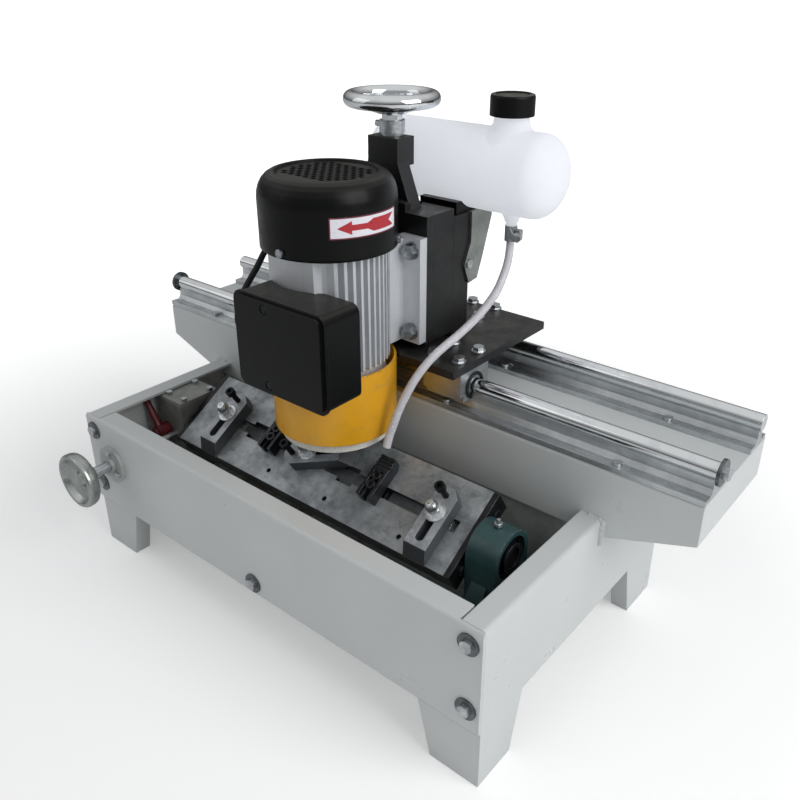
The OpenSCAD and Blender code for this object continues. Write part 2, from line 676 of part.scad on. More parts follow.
// carriage
module carriage_plate() {
    color("#2a2b2d") m() difference() {
        box(-plate_length / 2, plate_length / 2, car_y - plate_depth / 2, car_y + plate_depth / 2,
            plate_low, plate_z);
        for (p = block_bolts) cz(p[0], p[1], plate_low - 1, plate_z + 1, 6 + 2 * hole_gap);
        for (p = column_bolts) cz(p[0], p[1], plate_low - 1, plate_z + 1, 8 + 2 * hole_gap);
        cz(0, motor_y, plate_low - 1, plate_z + 1, guard_d + 8);
    }
}
block_places = [[-block_pitch / 2, rail_y[0]], [block_pitch / 2, rail_y[0]], [-rear_pitch / 2, rail_y[1]],
    [rear_pitch / 2, rail_y[1]]];
block_bolts = [for (p = block_places) for (i = [-1, 1]) for (j = [-1, 1])
    [p[0] + i * bolt_x, p[1] + j * bolt_y]];
column_bolts = [[-col_half + 10, col_back - 12], [col_half - 10, col_back - 12]];
module bearing_blocks() {
    color("#c4c8ca") m() for (p = block_places) let (x = p[0], y = p[1]) difference() {
        box(x - block_size / 2, x + block_size / 2, y - block_size / 2, y + block_size / 2,
            rod_z - block_low, block_top_z);
        cx(x - block_size, x + block_size, y, rod_z, rod_d + 2 * run_gap);
        box(x - block_size, x + block_size, y - 6.5, y + 6.5, rod_z - block_low - 1, rod_z);
        for (s = [-1, 1]) box(x - block_size, x + block_size, s > 0 ? y + 17 : y - block_size,
            s > 0 ? y + block_size : y - 17, rod_z - block_low - 1, rod_z - 6);
        for (s = [-1, 1]) difference() {
            cx(s > 0 ? x + block_size / 2 - 2 : x - block_size / 2 - 1,
                s > 0 ? x + block_size / 2 + 1 : x - block_size / 2 + 2, y, rod_z, 28);
            cx(x - block_size, x + block_size, y, rod_z, 21);
        }
        for (i = [-1, 1]) for (j = [-1, 1])
            cz(x + i * bolt_x, y + j * bolt_y, block_top_z - 12, block_top_z + 1, 6 + 2 * hole_gap);
    }
}
module carriage_bolts() {
    color("#aeb2b4") m() {
        for (p = block_bolts) {
            cz(p[0], p[1], plate_z, plate_z + 1.4, washer_d);
            hexz(p[0], p[1], plate_z + 1.4, plate_z + 5.4, 10);
            cz(p[0], p[1], plate_low - 10, plate_z + 1.4, 6);
        }
        for (p = column_bolts) {
            hexz(p[0], p[1], plate_low - 5.3, plate_low, 13);
            cz(p[0], p[1], plate_low, plate_z + 14, 8);
        }
        cx(col_half + 2.5, col_half + 4.5, col_back - 3, col_top - 52, 9);
        cx(col_half - 10, col_half + 2.5, col_back - 3, col_top - 52, 5);
    }
}
module column() {
    color("#232426") m() difference() {
        union() {
            box(-col_half, col_half, col_front, col_back, plate_z, col_top);
            translate([0, 0, plate_z]) linear_extrude(col_top - plate_z) polygon([[-dove_root, col_front + 1],
                [-dove_root, col_front], [-dove_tip, dove_front], [dove_tip, dove_front],
                [dove_root, col_front], [dove_root, col_front + 1]]);
        }
        box(-channel, channel, dove_front - 1, col_front - 5, plate_z - 1, col_top + 1);
        for (p = column_bolts) cz(p[0], p[1], plate_z - 1, plate_z + 15, 8 + 2 * hole_gap);
        cx(col_half - 11, col_half + 1, col_back - 3, col_top - 52, 5 + 2 * hole_gap);
    }
}
module lift_nut() {
    color("#b08d4a") m() difference() {
        box(-channel + 0.5, channel - 0.5, screw_y - 10, col_front - 5, slide_z + 57, slide_z + 87);
        cz(0, screw_y, slide_z + 56, slide_z + 88, lift_screw_d + 2 * run_gap);
    }
}

// coolant
module tank_bracket() {
    color("#b9beb9") m() difference() {
        union() {
            sheet_yz(col_half, col_half + 2.5, [[col_back - 10, col_top - 52], [col_back - 2, col_top - 72],
                [col_back + 12, col_top - 70], [col_back + 20, col_top - 50], [col_back + 34, col_top - 10],
                [col_back + 34, col_top], [col_back, col_top], [col_back, col_top - 30]]);
            box(10, col_half + 2.5, col_back, col_back + 34, col_top - 2.5, col_top);
        }
        cx(col_half - 1, col_half + 4, col_back - 3, col_top - 52, 5 + 2 * hole_gap);
    }
}
module tank_saddle() {
    color("#1c1d1f") m() difference() {
        box(14, col_half - 2, col_front + 6, col_back + 34, col_top, col_top + 12);
        cx(0, col_half + 10, tank_y, tank_z, tank_d);
    }
}
// body of revolution along X with elliptic ends
module tank_body(r, length) {
    dome = 26;
    turn = 90 / 15;
    rotate([0, 90, 0]) rotate_extrude($fn = 72) polygon(concat([[0, 0]],
        [for (i = [1:15]) [r * sin(i * turn), dome * (1 - cos(i * turn))]],
        [for (i = [15:-1:1]) [r * sin(i * turn), length - dome * (1 - cos(i * turn))]], [[0, length]]));
}
module tank() {
    color("#eef1f2") m() difference() {
        union() {
            translate([tank_left, tank_y, tank_z]) tank_body(tank_r, tank_length);
            translate([neck_x, tank_y, tank_z + tank_r]) rotate_extrude($fn = 72) polygon([[0, -16],
                [30, -16], [27.5, -11], [24.5, -6.5], [21.5, -2.5], [19, 1], [17.2, 5], [16.3, 9], [16, 12],
                [16, neck_rise], [0, neck_rise]]);
            translate([spout_x, tank_y, tank_z - tank_r]) rotate_extrude($fn = 72) polygon([[0, 14], [22, 14],
                [17, 7], [12, 2], [8.5, -2], [7, -5], [7, 4 - spout_drop], [hose_d / 2 + 1.5, 4 - spout_drop],
                [hose_d / 2 + 1.5, -spout_drop], [0, -spout_drop]]);
        }
        translate([tank_left + 2, tank_y, tank_z]) tank_body(tank_r - 2, tank_length - 4);
        cz(neck_x, tank_y, tank_z, neck_high + 1, 27);
        cz(spout_x, tank_y, spout_low - 1, tank_z, hose_d - 3);
    }
}
module tank_cap() {
    r = cap_d / 2;
    color("#17181a") m() translate([neck_x, tank_y, 0]) difference() {
        rotate_extrude($fn = 72) polygon([[0, cap_low], [r, cap_low], [r, cap_high - 2.5],
            [r - 0.7, cap_high - 0.7], [r - 2.5, cap_high], [r - 4.5, cap_high], [r - 5.5, cap_high - 1.5],
            [0, cap_high - 1.5]]);
        cz(0, 0, cap_low - 1, neck_high + slide_gap, 32 + 4 * slide_gap);
    }
}
// band round the hose under the spout, with a wing screw on its right
module hose_clip() {
    clip_low = spout_low - 15;
    ear = spout_x + hose_d / 2 + 1.5;
    color("#6d7174") m() {
        difference() {
            union() {
                cz(spout_x, tank_y, clip_low, spout_low, hose_d + 4);
                box(ear, ear + 6, tank_y - 3, tank_y + 3, clip_low + 3, spout_low - 3);
            }
            cz(spout_x, tank_y, clip_low - 1, spout_low + 1, hose_d + 2 * hole_gap);
        }
        cy(ear + 3.5, tank_y - 9, tank_y - 3, clip_low + 7.5, 5);
        translate([ear + 3.5, tank_y - 9, clip_low + 7.5]) rotate([90, 25, 0]) linear_extrude(2.4)
            polygon([[-9, 3], [-6.5, 5.5], [-2, 2.5], [2, 2.5], [6.5, 5.5], [9, 3], [7, -2], [2.5, -3.2],
                [-2.5, -3.2], [-7, -2]]);
    }
}

// swept tube of eight sides along a list of points, its ring planes halve the corners
function unit(v) = v / norm(v);
function along(p, i) = unit(p[min(i + 1, len(p) - 1)] - p[max(i - 1, 0)]);
module tube(p, d, n) {
    rings = [for (i = [0:len(p) - 1]) let (t = along(p, i), a = unit(cross([1, 0.3, 0], t)), b = cross(t, a))
        for (k = [0:n - 1]) p[i] + d / 2 * (cos(k * 360 / n) * a + sin(k * 360 / n) * b)];
    last = (len(p) - 1) * n;
    polyhedron(rings, concat([[for (k = [0:n - 1]) k]],
        [for (i = [0:len(p) - 2]) for (k = [0:n - 1])
            [i * n + k, (i + 1) * n + k, (i + 1) * n + (k + 1) % n, i * n + (k + 1) % n]],
        [[for (k = [n - 1:-1:0]) last + k]]));
}
module hose() { color("#e4e8ea") m() tube(hose_pts, hose_d, 8); }
module cable() { color("#151617") m() tube(cable_pts, 6, 8); }

// head slide
module slide_plate() {
    color("#1f2022") m() difference() {
        union() {
            box(-col_half, col_half, plate_front, plate_back, slide_z, slide_top);
            box(-34, 34, plate_front, plate_back, slide_top - 1, slide_top + 8);
            sheet_xz(plate_back, plate_back + 16, [[-34, slide_top], [34, slide_top], [18, neck_top + 4],
                [18, boss_top], [-18, boss_top], [-18, neck_top + 4]]);
            box(-18, 18, screw_y - 12, screw_y + 10, neck_top, boss_top);
        }
        cz(0, screw_y, slide_top - 1, boss_top + 1, lift_screw_d + 2 * run_gap);
        box(-11, 11, screw_y - 11, screw_y + 12, slide_top - 1, neck_top);
        for (p = foot_bolts) cy(p[0], plate_front - 1, plate_back + 1, p[1], 8 + 2 * hole_gap);
    }
}
module slide_block() {
    loose = 1.3 * slide_gap;
    color("#242527") m() difference() {
        box(-col_half, col_half, plate_back, col_front - slide_gap, slide_z, slide_top);
        translate([0, 0, slide_z - 1]) linear_extrude(slide_top - slide_z + 2) polygon([
            [-dove_root - loose, col_front + 1], [-dove_root - loose, col_front],
            [-dove_tip - loose, dove_front - slide_gap], [dove_tip + loose, dove_front - slide_gap],
            [dove_root + loose, col_front], [dove_root + loose, col_front + 1]]);
        box(-channel - 3, channel + 3, plate_back - 1, dove_front + 1, slide_z - 1, slide_top + 1);
        for (p = foot_bolts) cy(p[0], plate_back - 1, plate_back + 16, p[1], 8 + 2 * hole_gap);
    }
}

// motor
fin_rows = [for (i = [-5:5]) i * 7];
fan_screws = [33, 153, 273];
module motor_housing() {
    r = motor_d / 2;
    color("#b8bcbf") m() difference() {
        union() {
            cz(0, motor_y, motor_low, motor_high, motor_d - 12);
            intersection() {
                union() {
                    for (y = fin_rows)
                        box(-r, r, motor_y + y - 1.2, motor_y + y + 1.2, guard_top + 2, motor_high);
                    for (x = [-29, -22, -15, 15, 22, 29])
                        box(x - 1.2, x + 1.2, motor_y, motor_y + r, guard_top + 2, motor_high);
                }
                cz(0, motor_y, motor_low - 1, motor_high + 1, motor_d);
            }
            box(-28, 28, pad_y, motor_y, guard_top + 2, motor_high);
            cz(0, motor_y, motor_high - 1, motor_high + 8, shield_d);
            for (s = [-1, 1]) {
                sbox(s, 32, col_half, foot_face, plate_front, foot_mid - 52, foot_mid + 52);
                sbox(s, 32, 40, motor_y + 20, plate_front, foot_mid - 50, foot_mid + 50);
            }
        }
        cz(0, motor_y, motor_low - 1, motor_high - 10, 2 * rotor_r + 2);
        cz(0, motor_y, motor_low - 1, motor_high + 9, shaft_d + 2 * run_gap);
        for (a = fan_screws) translate([0, motor_y, fan_low + 5]) rotate([0, 0, a])
            cx(fan_cover_d / 2 - 12, fan_cover_d / 2, 0, 0, 4 + 2 * hole_gap);
        for (p = foot_bolts) cy(p[0], foot_face - 1, plate_front + 1, p[1], 8 + 2 * hole_gap);
    }
}
module end_shield() {
    color("#9fa4a7") m() difference() {
        union() {
            cz(0, motor_y, motor_low - 11, motor_low, motor_d - 8);
            cz(0, motor_y, motor_low - 14, motor_low, 44);
        }
        cz(0, motor_y, motor_low - 15, motor_low + 1, shaft_d + 2 * run_gap);
    }
}
vent_rows = [-25, -15, -5, 5, 15, 25];
module fan_cover() {
    r = fan_cover_d / 2;
    h = fan_high - fan_low;
    color("#191a1c") m() translate([0, motor_y, fan_low]) difference() {
        union() {
            rotate_extrude($fn = 96) polygon(concat([[r - cover_wall, 0], [r, 0], [r, h - 22]],
                [for (i = [1:6]) [r - 16 + 16 * cos(i * 15), h - 22 + 22 * sin(i * 15)]],
                [[r - 18, h - 2.5], [0, h - 2.5], [0, h - 5], [r - 17, h - 5]],
                [for (i = [6:-1:1]) [r - 16 - cover_wall + 16 * cos(i * 15), h - 24.5 + 22 * sin(i * 15)]],
                [[r - cover_wall, h - 24]]));
        }
        for (y = vent_rows) for (x = [-4:4]) if (norm([x * 9, y]) < r - 23)
            translate([x * 9 - 3, y - 2, h - 8]) cube([6, 4, 12]);
        for (y = vent_rows) for (x = [-4:4]) if (norm([x * 9 + 4.5, y + 5]) < r - 23)
            translate([x * 9 + 1.5, y + 3, h - 8]) cube([6, 4, 12]);
        for (a = fan_screws) rotate([0, 0, a]) translate([r - 5, 0, 5]) rotate([0, 90, 0])
            cylinder(h = 10, d = 4 + 2 * hole_gap);
    }
}
module terminal_box() {
    color("#1b1c1e") m() difference() {
        rbox(box_x0, box_x1, box_front, box_back, box_low, box_high, 8);
        rbox(box_x0 + 3, box_x1 - 3, box_front - 1, pad_y - 4, box_low + 3, box_high - 3, 5);
        cz(0, motor_y, box_low - 1, box_high + 1, motor_d + 2);
        cz(0, motor_y, box_low - 1, guard_top + 1, guard_d + 2);
        box(-30, 30, pad_y, box_back + 1, box_low - 1, box_high + 1);
        for (z = [box_low + 8, box_high - 8]) cy(7, box_front - 1, pad_y - 3, z, 4);
        cx(box_x0 - 1, box_x0 + 4, gland_y, gland_z, 12 + 2 * hole_gap);
    }
}
module terminal_cover() {
    color("#161719") m() difference() {
        union() {
            rbox(box_x0 - 1.5, box_x1 + 1.5, lid_front + 3, box_front, box_low - 1.5, box_high + 1.5, 9.5);
            rbox(box_x0 + 2, box_x1 - 2, lid_front, box_front, box_low + 2, box_high - 2, 6);
        }
        for (z = [box_low + 8, box_high - 8]) {
            cy(7, lid_front - 1, box_front + 1, z, 4 + 2 * hole_gap);
            cy(7, lid_front - 1, lid_front + 3, z, 9);
        }
    }
}
module cable_gland() {
    color("#151617") m() {
        cx(box_x0 - 5, box_x0, gland_y, gland_z, 18);
        cx(box_x0 - 8, box_x0 + 6, gland_y, gland_z, 12);
    }
}
module cable_clip() {
    color("#202123") m()
        box(-col_half - 10, -col_half, plate_back + 4, plate_back + 16, slide_top - 30, slide_top - 18);
}
module head_bolts() {
    color("#b2b6b8") m() {
        for (p = foot_bolts) {
            cy(p[0], foot_face - 1.6, foot_face, p[1], 17);
            hexy(p[0], foot_face - 7, foot_face - 1.6, p[1], 13);
            cy(p[0], foot_face - 1.6, plate_back + 14, p[1], 8);
        }
        for (z = [box_low + 8, box_high - 8]) {
            cy(7, lid_front + 0.5, lid_front + 3, z, 8);
            cy(7, lid_front + 3, pad_y - 6, z, 3.6);
        }
        for (a = fan_screws) translate([0, motor_y, fan_low + 5]) rotate([0, 0, a]) {
            cx(fan_cover_d / 2, fan_cover_d / 2 + 2.5, 0, 0, 8);
            cx(fan_cover_d / 2 - 6, fan_cover_d / 2, 0, 0, 4);
        }
    }
}
module wheel_guard() {
    r = guard_d / 2;
    color("#e0a526") m() translate([0, motor_y, 0]) rotate_extrude($fn = 96) polygon([
        [r - guard_wall, guard_low], [r, guard_low], [r, guard_top], [r - guard_wall, guard_top],
        [r - guard_wall, motor_low - 11], [22, motor_low - 11], [22, motor_low - 14],
        [r - guard_wall, motor_low - 14]]);
}

// rotor, fan and wheel
module rotor_shaft() {
    color("#8f9497") m() {
        difference() {
            union() {
                cz(0, motor_y, wheel_low + 12, fan_high - 16, shaft_d);
                cz(0, motor_y, foot_mid - 48, foot_mid + 32, 2 * rotor_r);
                cz(0, motor_y, wheel_high, wheel_high + 6, 30);
            }
            cz(0, motor_y, fan_high - 20, fan_high, 4);
        }
    }
}
module cooling_fan() {
    color("#2c2d30") m() translate([0, motor_y, motor_high + 11]) difference() {
        union() {
            cylinder(h = 20, d = 28);
            cylinder(h = 2.5, d = 96);
            for (a = [0:45:315]) rotate([0, 0, a]) translate([13, -1, 0]) cube([34, 2, 22]);
        }
        translate([0, 0, -1]) cylinder(h = 40, d = shaft_d);
    }
}
module cup_wheel() {
    color("#f0efe9") m() difference() {
        cz(0, motor_y, wheel_low, wheel_high, wheel_d);
        cz(0, motor_y, wheel_low - 1, wheel_high - 12, wheel_d - 26);
        cz(0, motor_y, wheel_low, wheel_high + 1, shaft_d);
    }
}
module wheel_nut() {
    color("#9aa0a3") m() difference() {
        union() {
            cz(0, motor_y, wheel_high - 15, wheel_high - 12, 40);
            hexz(0, motor_y, wheel_high - 26, wheel_high - 15, 24);
        }
        cz(0, motor_y, wheel_high - 27, wheel_high - 11, shaft_d);
    }
}

// lifting screw
module lift_handwheel() {
    color("#d9dcde") m() translate([0, screw_y, boss_top]) difference() {
        union() {
            translate([0, 0, 33]) rotate_extrude($fn = 72) translate([lift_wheel_d / 2 - 7, 0])
                circle(d = 14);
            rotate_extrude($fn = 72) polygon([[0, 14], [9.5, 14], [9.5, 19], [16, 20.5], [26, 24],
                [lift_wheel_d / 2 - 10, 29], [lift_wheel_d / 2 - 10, 34], [26, 28.5], [16, 25], [11, 24.5],
                [11, 27], [0, 27]]);
        }
        translate([0, 0, 10]) cylinder(h = 30, d = lift_screw_d);
    }
}
module lift_screw() {
    color("#c3c7c9") m() union() {
        cz(0, screw_y, slide_z + 4, boss_top + 28, lift_screw_d);
        cz(0, screw_y, boss_top + slide_gap, boss_top + 3, 22);
        cz(0, screw_y, boss_top + 3, boss_top + 14, 24);
        cz(0, screw_y, neck_top - 6, neck_top - slide_gap, 18);
        cx(-19, -10, screw_y, boss_top + 9, 6);
    }
}

front_panel();
side_frame_left();
side_frame_right();
rail_bed();
trough_tray();
rail_supports();
rail_shafts();
base_fasteners();
pillow_block();
bearing_insert();
gear_housing();
gear_cover();
worm_flange();
table();
trunnions();
worm_wheel();
table_screws();
worm_shaft();
tilt_handwheel();
lock_lever();
clamp_left_bar();
clamp_left_bolts();
clamp_middle_bar();
clamp_middle_bolts();
clamp_right_bar();
clamp_right_bolts();
gauge_left();
gauge_left_screws();
gauge_right();
gauge_right_screws();
carriage_plate();
bearing_blocks();
carriage_bolts();
column();
lift_nut();
tank_bracket();
tank_saddle();
tank();
tank_cap();
hose_clip();
hose();
slide_plate();
slide_block();
motor_housing();
end_shield();
fan_cover();
terminal_box();
terminal_cover();
cable_gland();
cable();
cable_clip();
head_bolts();
wheel_guard();
rotor_shaft();
cooling_fan();
cup_wheel();
wheel_nut();
lift_handwheel();
lift_screw();
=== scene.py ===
import math

import bpy
from bpy.props import FloatProperty, FloatVectorProperty, PointerProperty
from bpy.types import Operator, Panel, PropertyGroup
from mathutils import Matrix, Vector


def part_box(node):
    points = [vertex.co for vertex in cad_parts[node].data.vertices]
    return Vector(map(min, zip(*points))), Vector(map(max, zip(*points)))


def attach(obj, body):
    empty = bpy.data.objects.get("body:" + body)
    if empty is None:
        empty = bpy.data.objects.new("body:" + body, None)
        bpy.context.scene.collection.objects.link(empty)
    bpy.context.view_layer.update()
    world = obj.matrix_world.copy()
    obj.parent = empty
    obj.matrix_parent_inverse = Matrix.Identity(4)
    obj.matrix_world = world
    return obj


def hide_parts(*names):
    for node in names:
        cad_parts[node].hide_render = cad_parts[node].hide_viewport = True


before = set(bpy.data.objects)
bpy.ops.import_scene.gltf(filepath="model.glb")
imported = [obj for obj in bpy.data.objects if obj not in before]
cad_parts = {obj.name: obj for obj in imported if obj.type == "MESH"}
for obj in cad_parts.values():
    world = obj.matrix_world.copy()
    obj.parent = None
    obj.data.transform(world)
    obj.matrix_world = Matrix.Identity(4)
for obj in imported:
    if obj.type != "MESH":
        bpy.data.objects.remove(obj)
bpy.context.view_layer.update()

bl_info = {
    "name": "Knife Grinder Dressing",
    "version": (1, 0, 0),
    "blender": (4, 5, 0),
    "location": "View3D > Sidebar > Grinder",
    "description": "Finishes, hose, cable and small fittings for a straight knife grinder",
    "category": "Object",
}

PANEL_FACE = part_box("front_panel")[0].y

# Routes in metres, y measured back from the face of the front panel.
HOSE_ROUTE = [
    (0.098, 0.270, 0.386), (0.098, 0.270, 0.374), (0.099, 0.268, 0.362), (0.101, 0.262, 0.350),
    (0.102, 0.254, 0.339), (0.103, 0.244, 0.329), (0.102, 0.232, 0.319), (0.100, 0.219, 0.310),
    (0.097, 0.206, 0.302), (0.094, 0.192, 0.295), (0.091, 0.178, 0.289), (0.088, 0.164, 0.282),
    (0.085, 0.152, 0.273), (0.082, 0.142, 0.262), (0.079, 0.134, 0.249), (0.076, 0.128, 0.236),
    (0.074, 0.123, 0.223), (0.072, 0.119, 0.211), (0.071, 0.116, 0.200),
]
CABLE_ROUTE = [
    (-0.041, 0.057, 0.302), (-0.045, 0.057, 0.302), (-0.055, 0.058, 0.304), (-0.064, 0.062, 0.308),
    (-0.070, 0.067, 0.315), (-0.073, 0.073, 0.324), (-0.073, 0.080, 0.334), (-0.071, 0.087, 0.344),
    (-0.068, 0.094, 0.355), (-0.066, 0.101, 0.366), (-0.065, 0.110, 0.375), (-0.065, 0.121, 0.381),
    (-0.065, 0.133, 0.384), (-0.065, 0.146, 0.385), (-0.065, 0.160, 0.383), (-0.065, 0.174, 0.381),
    (-0.065, 0.187, 0.380), (-0.065, 0.200, 0.380),
]

# The tilted table: its angle, directions and axis, and the sizes of what stands on its face.
TABLE_TILT = math.radians(32)
TABLE_UP = Vector((0, -math.sin(TABLE_TILT), math.cos(TABLE_TILT)))
TABLE_BACK = Vector((0, math.cos(TABLE_TILT), math.sin(TABLE_TILT)))
TABLE_AXIS = Vector((0, PANEL_FACE + 0.114, 0.144))
TABLE_FACE = 0.0125
BOTH_END_PLATES = 0.012
CLAMP_BAR = 0.014
NUT_AND_WASHER = 0.0088
JACK_SCREW_FROM = 0.0112

# Each clamp's place from the middle as a share of the table's whole length, and its turn in degrees.
CLAMP_SHARES = {"left": -0.35, "middle": -0.025, "right": 0.4}
CLAMP_TURNS = {"left": 0.0, "middle": 117.0, "right": 0.0}

# Rails and washers.
BLOCK = 0.045
ROD = 0.016
PANEL_WASHER = 0.0018
ROD_WASHER = 0.0031

# Degrees between the cuts of a curved label, and the distance within which points become one.
LABEL_STEP = 1.5
MERGE = 1e-6

# Directions of the frame.
RIGHT = Vector((1, 0, 0))
BACK = Vector((0, 1, 0))
UP = Vector((0, 0, 1))

# The camera of the photograph, the lamps and the sky.
CAMERA_PLACE = Vector((0.5152, PANEL_FACE - 0.3917, 0.6074))
CAMERA_RIGHT = Vector((0.77463, 0.6324, 0.00415))
CAMERA_DOWN = Vector((0.28264, -0.34033, -0.89682))
CAMERA_AHEAD = Vector((-0.56574, 0.69588, -0.44237))
CAMERA_SHIFT = (-0.016, -0.03)
SENSOR = 36.0
KEY_PLACE = Vector((2.0, 0.1, 1.5))
FILL_PLACE = Vector((-1.4, -1.4, 1.3))
LAMP_SIZE = 1.6
LAMP_TARGET = Vector((0, 0, 0.2))
SKY_TINT = (0.97, 0.985, 1.0, 1.0)
WHITE = (1.0, 1.0, 1.0, 1.0)


def ink(code):
    """Scene-linear colour with alpha for a chart code such as #c9d0cc."""
    parts = [int(code[i:i + 2], 16) / 255 for i in (1, 3, 5)]
    return [p / 12.92 if p <= 0.04045 else ((p + 0.055) / 1.055) ** 2.4 for p in parts] + [1.0]


def from_panel(point):
    """A point measured from the panel face, in the frame."""
    return Vector((point[0], point[1] + PANEL_FACE, point[2]))


def swatch(label, code):
    """A colour that a user may change."""
    return FloatVectorProperty(name=label, description=label + " colour", subtype="COLOR", size=4,
                               min=0.0, max=1.0, default=ink(code))


def length(label, words, value):
    """A size in metres that a user may change."""
    return FloatProperty(name=label, description=words, default=value, min=0.0, unit="LENGTH", precision=4)


class GrinderPaints(PropertyGroup):
    """Colours of the machine."""
    base: swatch("Base paint", "#d3d7d7")
    # The trough paint is darker than the base paint as painted shade for the shaded trough.
    tray: swatch("Trough paint", "#b9bfbe")
    guard: swatch("Wheel guard", "#eaa916")
    black: swatch("Black coat", "#131416")
    plastic: swatch("Black mouldings", "#08090a")
    silver: swatch("Motor casting", "#d8dbdf")
    tank: swatch("Coolant tank", "#cbcdd1")
    hose: swatch("Coolant hose", "#e9e8ee")
    lever: swatch("Lock lever", "#6d1620")
    bearing: swatch("Bearing casting", "#2f5052")
    arrow: swatch("Turning arrow", "#b5242f")


class GrinderFittings(PropertyGroup):
    """Sizes of the pieces that dress the machine."""
    hose_diameter: length("Hose", "Outside diameter of the coolant hose", 0.008)
    hose_wall: length("Hose wall", "Wall of the coolant hose", 0.0013)
    cable_diameter: length("Cable", "Diameter of the motor cable", 0.006)
    label_low: length("Label low edge", "Height of the arrow label's lower edge", 0.405)
    label_high: length("Label high edge", "Height of the arrow label's upper edge", 0.4235)
    rear_pitch: length("Rear blocks", "Distance between the two blocks on the rear rail", 0.07)
    seal_outer: length("Seal radius", "Outer radius of a bearing block seal", 0.0139)
    seal_inner: length("Seal bore", "Inner radius of a bearing block seal", 0.0106)


class GrinderStage(PropertyGroup):
    """Light, floor and camera."""
    sky: FloatProperty(name="Sky", description="Light from all round", default=0.385, min=0.0)
    key: FloatProperty(name="Key lamp", description="Power of the lamp on the right", default=30.0, min=0.0,
                       unit="POWER")
    fill: FloatProperty(name="Fill lamp", description="Power of the lamp on the left", default=4.0, min=0.0,
                        unit="POWER")
    floor: length("Floor", "Side length of the floor", 60.0)
    lens: FloatProperty(name="Lens", description="Focal length of the camera", default=37.33, unit="CAMERA")


# Making and placing pieces

def deselect():
    """Nothing stays selected, so the next operator acts on the new piece alone."""
    bpy.ops.object.select_all(action="DESELECT")


def pick(piece):
    """Makes the piece the only one selected, and the active one."""
    deselect()
    piece.select_set(True)
    bpy.context.view_layer.objects.active = piece


def settle(piece):
    """Puts the piece's place into its mesh, so its object sits at the origin."""
    pick(piece)
    bpy.ops.object.transform_apply(location=True, rotation=True, scale=True)


def tool(piece, kind, **settings):
    """Adds a modifier, sets it and applies it."""
    pick(piece)
    bpy.ops.object.modifier_add(type=kind)
    modifier = piece.modifiers[-1]
    for key, value in settings.items():
        setattr(modifier, key, value)
    bpy.ops.object.modifier_apply(modifier=modifier.name)


def smooth(piece, degrees=35):
    """Shades the piece smooth, and leaves edges past the angle crisp."""
    pick(piece)
    bpy.ops.object.shade_smooth_by_angle(angle=math.radians(degrees))


def dress(piece, finish, body):
    """Gives a new piece its finish and the body it rides on."""
    piece.data.materials.clear()
    piece.data.materials.append(finish)
    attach(piece, body)


def turned(name, outline, steps=48):
    """A piece turned about Z from an outline of (radius, height) points."""
    deselect()
    bpy.ops.mesh.primitive_plane_add(size=0.002)
    piece = bpy.context.object
    piece.name = name
    bpy.ops.object.mode_set(mode="EDIT")
    bpy.ops.mesh.select_all(action="SELECT")
    bpy.ops.mesh.merge(type="CENTER")
    bpy.ops.transform.translate(value=(outline[0][0], 0, outline[0][1]))
    for before, after in zip(outline, outline[1:]):
        step = (after[0] - before[0], 0, after[1] - before[1])
        bpy.ops.mesh.extrude_region_move(TRANSFORM_OT_translate={"value": step})
    bpy.ops.mesh.select_all(action="SELECT")
    bpy.ops.mesh.spin(steps=steps, angle=math.tau, center=(0, 0, 0), axis=(0, 0, 1))
    bpy.ops.mesh.select_all(action="SELECT")
    bpy.ops.mesh.remove_doubles(threshold=MERGE)
    bpy.ops.mesh.normals_make_consistent(inside=False)
    bpy.ops.object.mode_set(mode="OBJECT")
    return piece


def copies(piece, places):
    """The piece at each matrix in places, joined into one object at the origin."""
    made = []
    for place in places:
        twin = piece.copy()
        twin.data = piece.data.copy()
        bpy.context.collection.objects.link(twin)
        twin.matrix_world = place
        made.append(twin)
    bpy.data.objects.remove(piece)
    deselect()
    for twin in made:
        twin.select_set(True)
    bpy.context.view_layer.objects.active = made[0]
    if len(made) > 1:
        bpy.ops.object.join()
    settle(made[0])
    return made[0]


def tube(name, route, diameter, wall=0.0):
    """A tube along the route, open with a wall or solid with flat ends."""
    line = bpy.data.curves.new(name, "CURVE")
    line.dimensions = "3D"
    line.resolution_u = 6
    line.bevel_depth = diameter / 2
    line.bevel_resolution = 6
    line.use_fill_caps = not wall
    spline = line.splines.new("BEZIER")
    spline.bezier_points.add(len(route) - 1)
    for knot, point in zip(spline.bezier_points, route):
        knot.co = from_panel(point)
        knot.handle_left_type = knot.handle_right_type = "AUTO"
    piece = bpy.data.objects.new(name, line)
    bpy.context.collection.objects.link(piece)
    pick(piece)
    bpy.ops.object.convert(target="MESH")
    piece = bpy.context.object
    if wall:
        tool(piece, "SOLIDIFY", thickness=wall, offset=-1.0, use_rim=True)
    smooth(piece, 50)
    return piece


# Finishes

def add_node(tree, kind, inputs=None, **settings):
    """Adds a shader node, sets it, and sets or links its inputs."""
    node = tree.nodes.new("ShaderNode" + kind)
    for key, value in settings.items():
        setattr(node, key, value)
    for socket, value in (inputs or {}).items():
        if isinstance(value, bpy.types.NodeSocket):
            tree.links.new(value, node.inputs[socket])
        else:
            node.inputs[socket].default_value = value
    return node


